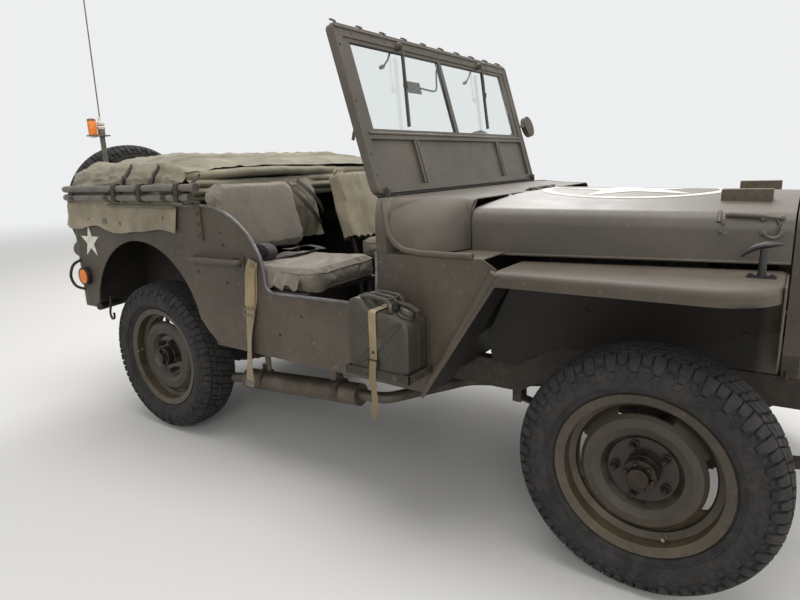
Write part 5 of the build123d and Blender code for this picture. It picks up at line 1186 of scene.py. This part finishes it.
def stuffed(name, size, corner, spot, lean, turn, sag, seed, material):
    # a box a little small for its cover, blown up as cloth, then creased and set in its place
    box = bmesh.new()
    bmesh.ops.create_cube(box, size=1.0)
    bmesh.ops.scale(box, vec=Vector(size) - Vector((0.008, 0.008, 0.012)), verts=box.verts)
    upright = [e for e in box.edges if abs((e.verts[0].co - e.verts[1].co).normalized().dot(Vector((0, 0, 1)))) > 0.9]
    bmesh.ops.bevel(box, geom=upright, offset=corner, segments=6, profile=0.5, affect="EDGES")
    mesh = bpy.data.meshes.new(name)
    box.to_mesh(mesh)
    box.free()
    body = bpy.data.objects.new(name, mesh)
    bpy.context.scene.collection.objects.link(body)
    cutting = body.modifiers.new("cut", "REMESH")
    cutting.mode, cutting.voxel_size = "VOXEL", cushion["voxel"]
    graph = bpy.context.evaluated_depsgraph_get()
    start = bpy.data.meshes.new_from_object(body.evaluated_get(graph))
    body.modifiers.clear()
    body.data = start
    before = [v.co.copy() for v in start.vertices]
    after = before
    cover = body.modifiers.new("cover", "CLOTH")
    settings = cover.settings
    settings.quality, settings.mass = cushion["quality"], cushion["mass"]
    settings.tension_stiffness = settings.compression_stiffness = cushion["tension"]
    settings.shear_stiffness, settings.bending_stiffness = cushion["shear"], cushion["bending"]
    settings.use_pressure, settings.uniform_pressure_force = True, cushion["pressure"]
    settings.effector_weights.gravity = 0
    cover.point_cache.frame_start, cover.point_cache.frame_end = 1, cushion["frames"]
    for moment in range(1, cushion["frames"] + 1):
        bpy.context.scene.frame_set(moment)
    graph = bpy.context.evaluated_depsgraph_get()
    blown = bpy.data.meshes.new_from_object(body.evaluated_get(graph))
    after = [v.co.copy() for v in blown.vertices]
    body.modifiers.clear()
    bpy.context.scene.frame_set(1)
    half = Vector(size) / 2
    for vertex, old, now in zip(start.vertices, before, after):
        step = now - old
        if step.length > cushion["cap"]:
            step *= cushion["cap"] / step.length
        p = old + step
        u, v = min(1, abs(p.x) / half.x), min(1, abs(p.y) / half.y)
        crown = (1 - u ** 2.4) * (1 - v ** 2.4)
        p.z += (0.01 - sag) * crown * (1 if p.z > 0 else -0.3)
        where = Vector((p.x * 9 + seed, p.y * 9, p.z * 6))
        crease = 0.5 - abs(noise.noise(where * 1.1 + Vector((0, 0, 7))))
        p += Vector((p.x / half.x * 0.4, p.y / half.y * 0.4, 1 if p.z > 0 else -1)) * (
            noise.noise(where * 0.5) * 0.005 + max(0, crease - 0.44) * (-0.03 if size[2] > 0.07 else -0.006)
            + noise.noise(where * 3.2) * 0.0009)
        vertex.co = p
    start.shade_smooth()
    start.materials.clear()
    start.materials.append(material)
    finer = body.modifiers.new("fine", "SUBSURF")
    finer.levels = finer.render_levels = 1 if size[2] < 0.07 else 0
    welts = Build()
    for level in (1, -1):
        loop = []
        for k in range(cushion["weltPoints"]):
            u, v = squared(2 * pi * k / cushion["weltPoints"], cushion["weltPower"])
            guess = Vector((u * (half.x - 0.004), v * (half.y - 0.004), level * (half.z - 0.006)))
            near, out = body.closest_point_on_mesh(guess)[1:3]
            loop.append(near + out * 0.0006)
        welts.tube(loop + loop[:2], cushion["welt"], 6)
    piping = welts.piece(name + "Welt", material, "root", True)
    setting = Matrix.Translation(spot) @ Matrix.Rotation(turn, 4, "Z") @ Matrix.Rotation(lean, 4, "Y")
    for made in (body, piping):
        made.data.transform(setting)
    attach(body, "root")
    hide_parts("cushions")


# the seat backs lean along rise, and ahead is square to them
rise = Vector((-0.098, 0, 0.363)).normalized()
ahead = Vector((rise.z, 0, -rise.x))
for who, y, turn, seatSeed, backSeed in (("Passenger", -0.497, 0.075, 3.0, 21.0), ("Driver", 0.25, 0.0, 8.0, 28.0)):
    stuffed("seat" + who, (0.392, 0.402, 0.08), 0.045, Vector((-0.155, y, 0.7525)), 0.015, turn, 0.014, seatSeed,
            seatCloth)
    stuffed("back" + who, (0.29, 0.432, 0.062), 0.06, Vector((-0.407, y - 0.006, 0.956)), atan2(rise.z, -rise.x),
            0.0, 0.004, backSeed, seatCloth)
print("cushions made")

# torn front corner of the passenger seat's cover
torn = Build()
rows = []
for k in range(26):
    along = k / 25
    puff = 0.022 * sin(pi * min(1, along * 1.1)) * (0.6 + 0.4 * sin(k * 1.1))
    depth = 0.05 + 0.012 * sin(k * 0.9) + 0.008 * drift(k * 0.8, 1, 2)
    rows.append([(-0.215 + 0.215 * along + 0.004 * sin(drop * 5), -0.6985 - 0.016 * along - puff * drop,
                  0.785 - 0.002 * along - depth * drop) for drop in [j / 7 for j in range(8)]])
torn.rings(rows, False, False)
tornPiece = torn.piece("seatTornEdge", seatCloth, "root", True)

# driver's loose cover: a pale bag over the back, creased upright, hem frayed
bag = {"half": 0.229, "deep": 0.048, "low": -0.172, "high": 0.14, "rows": 40, "around": 160,
       "creases": ((-0.105, 0.012), (0.005, 0.016), (0.118, 0.011))}
loose = Build()
middle = Vector((-0.404, 0.244, 0.956))
rows = []
for k in range(bag["rows"]):
    height = bag["low"] + (bag["high"] - bag["low"]) * min(1, k / 30)
    close = max(0.0, (k - 24) / 15)
    thin = sqrt(max(0.0, 1 - min(1, close) ** 2.6))
    row = []
    for s in range(bag["around"]):
        across, deep = squared(2 * pi * s / bag["around"], 7)
        y = across * bag["half"] * (1 - 0.1 * close ** 2)
        fold = 0.0
        for line, wide in bag["creases"]:
            fold += 0.009 * max(0, 1 - abs(y - line - 0.02 * drift(height * 6, line, 3)) / wide)
        fold += 0.01 * drift(y * 7, height * 3, deep + 5) + 0.004 * drift(y * 26, height * 9, 2)
        hem = (0.012 * drift(y * 9, deep, 8) + 0.006 * sin(y * 160)) * max(0, 1 - k / 3)
        hem -= 0.02 * max(0, 1 - k / 6) * across
        x = deep * (bag["deep"] * thin + 0.002) + (1 if deep > 0 else -1) * fold * (0.35 + 0.65 * thin)
        top = 0.012 * close * (1 + 0.5 * sin(y * 15))
        aside = y * (1 + 0.02 * (1 - close)) + 0.004 * sin(height * 30 + deep)
        row.append(middle + ahead * x + rise * (height + hem + top) + Vector((0, aside, 0)))
    rows.append(row)
loose.rings(rows, True, False)
coverPiece = loose.piece("driverCover", coverCloth, "root", True, 0.0, 70)
knot = Build()
for k, (y, turnBy) in enumerate(((-0.2, 0.3), (-0.214, 1.4), (-0.19, 2.3))):
    centre = middle + rise * 0.155 + Vector((0.01, y, 0))
    knot.tube([centre + Vector((0.01 * cos(a) * cos(turnBy), 0.016 * sin(a), 0.014 * cos(a) * sin(turnBy) + 0.004 * k))
               for a in [2 * pi * s / 12 for s in range(13)]], 0.0065, 8)
tails = ((0.15, 0.01, -0.205), (0.12, 0.035, -0.222), (0.07, 0.04, -0.232), (0.03, 0.046, -0.228))
knot.tube(smoothRow([middle + rise * up + Vector((x, y, 0)) for up, x, y in tails], 10),
          [0.007, 0.007, 0.0065, 0.006, 0.006, 0.0055, 0.005, 0.005, 0.0045, 0.003], 8, 0.5)
knot.piece("coverKnot", coverCloth, "root", True)

# lap belt rolled up at the back of the passenger's seat, its free end flat across the gap
belt = {"width": 0.046, "thick": 0.0022, "turn": 0.3, "points": 70, "core": 0.012, "pitch": 0.0017}
coil = Build()
spiral, outs = [], []
for k in range(belt["points"]):
    a = k * belt["turn"]
    out = Vector((1.25 * cos(a), 0, 0.72 * sin(a)))
    spiral.append(Vector((-0.305, -0.585 + 0.004 * sin(a * 0.7), 0.826)) + out * (belt["core"] + belt["pitch"] * a))
    outs.append(out)
coil.band(spiral, belt["width"], belt["thick"], outs)
end = smoothRow([(-0.285, -0.56, 0.8), (-0.26, -0.5, 0.812), (-0.262, -0.42, 0.806), (-0.275, -0.33, 0.802),
                 (-0.29, -0.27, 0.8), (-0.33, -0.262, 0.806), (-0.345, -0.3, 0.812), (-0.335, -0.36, 0.816),
                 (-0.325, -0.44, 0.818)], 44)
coil.band(end, 0.042, belt["thick"], [(0.25 * sin(k * 0.3), 0.1, 1) for k in range(44)])
beltPiece = coil.piece("lapBelt", beltCloth, "root")

# end of the top hanging between the seats, tied with two straps
flap = Build()
rows = []
for k in range(34):
    down = k / 33
    row = []
    for j in range(30):
        side = j / 29
        y = -0.245 + 0.225 * side - 0.012 * sin(down * 4) * (side - 0.5)
        belly = 0.045 * sin(pi * min(1, down * 1.05)) * sin(pi * side) ** 0.5
        fold = 0.012 * sin(side * 17 + down * 3) * (0.3 + down * 0.7) + 0.01 * drift(side * 4, down * 5, 6)
        row.append((-0.535 + 0.03 * down + belly + fold, y, 1.09 - 0.262 * down + 0.01 * drift(side * 5, 0, 3)))
    rows.append(row)
flap.rings(rows, False, False)
flapPiece = flap.piece("topEnd", canvasCloth, "root", True, 0.0, 80)
ties = Build()
for tie in (((-0.5, -0.235, 1.075), (-0.462, -0.19, 1.01), (-0.452, -0.13, 0.945), (-0.47, -0.06, 0.885)),
            ((-0.505, -0.165, 1.085), (-0.468, -0.12, 1.03), (-0.46, -0.07, 0.975), (-0.48, -0.03, 0.935))):
    ties.band(smoothRow(tie, 16), 0.024, 0.003, (1, 0.2, 0.1))
ties.piece("topEndTies", leather, "root", False, 0.0006)
print("covers and belts made")


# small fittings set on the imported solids
def touch(node, start, direction):
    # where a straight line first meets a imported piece, and the way that surface faces
    target = nodes[node]
    away = target.matrix_world.inverted()
    found, where, out = target.ray_cast(away @ Vector(start), (away.to_3x3() @ Vector(direction)).normalized())[:3]
    if not found:
        return None
    return target.matrix_world @ where, (target.matrix_world.to_3x3() @ out).normalized()


def touched(node, hand, start, spots):
    # the same from one side, for each (x, z) that meets the piece
    found = [touch(node, (x, hand * start, z), (0, -hand, 0)) for x, z in spots]
    return [each for each in found if each]


# circled star painted on the hood's top, its single point to the windshield
badge = {"x": 0.905, "ring": 0.3, "line": 0.034, "star": 0.262, "paint": 0.0011}
marks = Build()


def painted(u, v):
    # a point on the hood, u to the left and v to the rear of the badge's middle
    where, out = touch("hood", (badge["x"] - v, u, 1.3), (0, 0, -1))
    return where + Vector((0, 0, badge["paint"]))


marks.rings([[painted(reach * sin(2 * pi * k / 96), -reach * cos(2 * pi * k / 96)) for k in range(96)]
             for reach in (badge["ring"] - badge["line"], badge["ring"] - badge["line"] / 2, badge["ring"])],
            True, False)
marks.rings(starLoops(badge["star"], (1.0, 0.8, 0.6, 0.4, 0.2, 0.01), 6, painted), True, False)
marks.piece("hoodStar", whitePaint, "hood")

lensGlass, lensRed, lensAmber, bezels, smallIron = Build(), Build(), Build(), Build(), Build()
for hand in (-1, 1):
    # headlamps: domed glass, rim with a clamp screw; blackout markers below with a hooded slot
    y = hand * 0.366
    lensGlass.spin([(-0.004, 0.0685), (0.002, 0.066), (0.008, 0.05), (0.0115, 0.028), (0.0125, 0.0)],
                   (1.44, y, 0.872), (1, 0, 0), 40)
    bezels.spin([(-0.024, 0.0765), (-0.006, 0.079), (0.003, 0.076), (0.006, 0.069), (0.000, 0.0665)],
                (1.44, y, 0.872), (1, 0, 0), 40)
    bezels.bolt((1.438, y, 0.7945), (0, 0, -1), 0.008, 0.008)
    lensGlass.spin([(0, 0.0185), (0.004, 0.0165), (0.006, 0.0)], (1.4335, y, 0.716), (1, 0, 0), 24)
    bezels.spin([(-0.014, 0.0275), (-0.002, 0.0295), (0.003, 0.027), (0.002, 0.0185)], (1.433, y, 0.716),
                (1, 0, 0), 28)
    bezels.box((1.431, y - 0.02, 0.7255), (1.447, y + 0.02, 0.7285))
    # tail lamps
    bezels.spin([(0.0, 0.041), (0.004, 0.04), (0.006, 0.034), (0.003, 0.032)], (-1.532, hand * 0.64, 0.79),
                (-1, 0, 0), 32)
    lensRed.spin([(0, 0.0155), (0.004, 0.0135), (0.006, 0.0)], (-1.5345, hand * 0.64, 0.802), (-1, 0, 0), 20)
    lensRed.spin([(0, 0.0095), (0.003, 0.008), (0.0045, 0.0)], (-1.5345, hand * 0.64, 0.772), (-1, 0, 0), 16)
    # side reflectors in a dark ring, a curved guard tube behind them
    lensAmber.spin([(-0.002, 0.0335), (0.0015, 0.0325), (0.004, 0.023), (0.0052, 0.0)],
                   (-1.35, hand * 0.7485, 0.682), (0, hand, 0), 36)
    smallIron.spin([(-0.02, 0.0412), (-0.004, 0.0425), (0.002, 0.04), (0.002, 0.0345), (-0.003, 0.0335)],
                   (-1.35, hand * 0.7475, 0.682), (0, hand, 0), 36)
    guard = ((-1.395, 0.722, 0.755), (-1.418, 0.748, 0.735), (-1.428, 0.762, 0.7), (-1.428, 0.764, 0.664),
             (-1.418, 0.75, 0.629), (-1.395, 0.722, 0.612))
    # tow hook under the rear corner
    hook = ((-1.246, 0.69, 0.585), (-1.252, 0.692, 0.54), (-1.262, 0.694, 0.505), (-1.252, 0.694, 0.478),
            (-1.232, 0.694, 0.484), (-1.23, 0.694, 0.508))
    for line, count, radius, sides in ((guard, 26, 0.0065, 12), (hook, 22, 0.0052, 10)):
        smallIron.tube(smoothRow([(x, hand * y, z) for x, y, z in line], count), radius, sides)
lensGlass.piece("lampLenses", lampGlass, "root", True)
lensRed.piece("tailLenses", redLens, "root", True)
# the mast's marker lamp and the whip's two ceramic collars
mast = {"x": -1.488, "lampY": -0.524, "whipY": -0.48}
lensAmber.spin([(0.0, 0.0196), (0.014, 0.02), (0.06, 0.0196), (0.071, 0.018), (0.076, 0.012), (0.0765, 0.0)],
               (mast["x"], mast["lampY"], 1.331), (0, 0, 1), 24)
lensAmber.piece("amberLenses", amberLens, "root", True)
bezels.piece("lampRims", bodyPaint, "root", True)
collars = Build()
collars.spin([(0.0, 0.015), (0.004, 0.019), (0.012, 0.02), (0.018, 0.015), (0.024, 0.0185), (0.032, 0.0175),
              (0.04, 0.0105), (0.06, 0.008)], (mast["x"], mast["whipY"], 1.356), (0, 0, 1), 24)
collars.spin([(0.0, 0.013), (0.006, 0.015), (0.012, 0.013)], (mast["x"], mast["lampY"], 1.318), (0, 0, 1), 20)
collars.piece("whipCollars", whitePaint, "root", True)

# dashboard: dials with plain faces, knobs, blank plates, glove box lid
dash = {"face": 0.2957, "plates": ((-0.255, -0.165), (-0.35, -0.265)), "lid": (-0.385, -0.595, 0.925, 1.012),
        "dials": ((0.02, 0.972, 0.045), (0.118, 0.998, 0.025), (0.118, 0.94, 0.025), (-0.078, 0.998, 0.025),
                  (-0.078, 0.94, 0.025)),
        "knobs": ((0.185, 0.985), (0.22, 0.985), (0.185, 0.94), (0.22, 0.94), (-0.135, 0.93))}
dialFaces, plates = Build(), Build()


def onDash(build, profile, y, z, steps=32):
    build.spin(profile, (dash["face"], y, z), (-1, 0, 0), steps)


for y, z, radius in dash["dials"]:
    onDash(smallIron, [(-0.001, radius + 0.004), (0.004, radius + 0.0035), (0.006, radius), (0.003, radius - 0.002)],
           y, z)
    onDash(dialFaces, [(0.0005, radius), (0.0012, radius * 0.98), (0.0012, 0.0)], y, z)
    plates.box((dash["face"] - 0.0022, y - 0.0008, z), (dash["face"] - 0.0014, y + 0.0008, z + radius * 0.7))
for y, z in dash["knobs"]:
    onDash(smallIron, [(0, 0.005), (0.014, 0.005), (0.016, 0.01), (0.026, 0.011), (0.029, 0.006), (0.0295, 0.0)],
           y, z, 16)
for low, high in dash["plates"]:
    plates.box((dash["face"] - 0.0012, low, 0.955), (dash["face"] + 0.001, high, 1.01))
    for y, z in ((low + 0.006, 0.961), (low + 0.006, 1.004), (high - 0.006, 0.961), (high - 0.006, 1.004)):
        smallIron.rivet((dash["face"] - 0.001, y, z), (-1, 0, 0), 0.003)
near, far, low, high = dash["lid"]
lid = [(near, low), (near, high), (far, high), (far, low), (near, low)]
plates.tube([(dash["face"], y, z) for y, z in lid], 0.0022, 6)
onDash(smallIron, [(0, 0.009), (0.004, 0.008), (0.008, 0.0)], -0.49, 1.000, 16)
dialFaces.piece("dialFaces", blackPlastic, "root", True)
plates.piece("dashPlates", wornSteel, "root")
# horn button, pedals and levers
columnWay = Vector((-0.877, 0, 0.48)).normalized()
button = Build()
button.spin([(-0.022, 0.026), (-0.002, 0.03), (0.004, 0.022), (0.008, 0.012), (0.009, 0.0)], (0.066, 0.35, 1.094),
            columnWay, 24)
button.piece("hornButton", blackPlastic, "root", True)
tilt = Matrix.Rotation(radians(-38), 3, "Y")
for y, x, z, wide in ((0.435, 0.42, 0.64, 0.034), (0.27, 0.42, 0.64, 0.034), (0.19, 0.455, 0.6, 0.024)):
    arm = ((0.004, 0), (0.06, -0.03), (0.12, -0.09), (0.15, -0.17))
    smallIron.tube(smoothRow([(x + dx, y, z + dz) for dx, dz in arm], 14), 0.0085, 10)
    smallIron.box((x - 0.006, y - wide, z - 0.03), (x + 0.004, y + wide, z + 0.03), tilt, (x, y, z))
for foot, knee, top, ball in (((0.3, 0.000, 0.56), (0.24, 0.000, 0.7), (0.15, 0.02, 0.845), 0.021),
                              ((0.2, -0.08, 0.56), (0.19, -0.085, 0.64), (0.13, -0.09, 0.72), 0.015),
                              ((0.16, -0.12, 0.56), (0.155, -0.125, 0.64), (0.09, -0.13, 0.72), 0.015)):
    smallIron.tube(smoothRow([foot, knee, top], 16), 0.0075, 10)
    smallIron.spin([(-ball, 0.004), (-ball * 0.7, ball * 0.7), (0, ball), (ball * 0.7, ball * 0.7), (ball, 0.0)],
                   top, Vector(top) - Vector(knee), 18)
    smallIron.spin([(0.0, 0.045), (0.012, 0.036), (0.03, 0.014)], foot, (0, 0, 1), 20)
smallIron.piece("smallIron", greasyIron, "root", True)

# fender aprons: bolt heads, a stay at the front; muffler clamps
bolts = Build()
for hand in (-1, 1):
    for where, out in touched("fenders", hand, 0.7, (
            (0.8, 0.76), (0.92, 0.8), (1.06, 0.8), (1.2, 0.795), (1.3, 0.76), (0.9, 0.7),
            (1.3, 0.66))):
        bolts.bolt(where, out, 0.014, 0.006)
    for where, out in touched("fenders", hand, 0.9, ((0.69, 0.832), (0.56, 0.64), (0.52, 0.58))):
        bolts.rivet(where, out, 0.0055)
    bolts.tube([(1.402, hand * 0.4, 0.56), (1.402, hand * 0.4, 0.64)], 0.0045, 8)
    bolts.spin([(0, 0.01), (0.006, 0.01), (0.01, 0.005)], (1.402, hand * 0.4, 0.636), (0, 0, 1), 12)
for x, z in ((-0.36, 0.3004), (0.04, 0.3291)):
    bolts.spin([(-0.011, 0.0405), (-0.011, 0.044), (0.011, 0.044), (0.011, 0.0405)], (x, -0.575, z), (1, 0, 0.072), 28)
    bolts.box((x - 0.011, -0.58, z + 0.042), (x + 0.011, -0.57, z + 0.062))
    bolts.bolt((x, -0.58, z + 0.053), (0, -1, 0), 0.011, 0.006)
ribs, sideBolts = Build(), Build()
for hand in (-1, 1):
    rib = ((0.742, 0.74, 0.848), (0.7, 0.7385, 0.776), (0.64, 0.7385, 0.682), (0.58, 0.7385, 0.582),
           (0.53, 0.74, 0.502), (0.503, 0.743, 0.456))
    ribs.tube([(x, hand * y, z) for x, y, z in rib], [0.0125, 0.012, 0.0105, 0.0085, 0.006, 0.002], 16)
    for where, out in touched("body_sides", hand, 0.9, (
            (-0.368, 0.915), (-0.359, 0.871), (-0.252, 0.775), (-0.252, 0.737), (-0.358, 0.728), (-0.52, 0.76),
            (-0.64, 0.7), (0.012, 0.64), (0.23, 0.64), (0.23, 0.86), (0.26, 0.52), (-0.1, 0.56))):
        if abs(where.y) > 0.7:
            sideBolts.rivet(where, (0, hand, 0), 0.0058)
    for where, out in touched("body_fittings", hand, 0.9, (
            (-0.268, 0.826), (-0.268, 0.796), (-0.288, 0.826), (-0.288, 0.796))):
        sideBolts.rivet(where, (0, hand, 0), 0.005)
ribs.piece("fenderRibs", bodyPaint, "root", True)
sideBolts.piece("sideBolts", greasyIron, "root", True)
bolts.piece("wellBolts", shadedChassisPaint, "root", True)
print("fittings made")
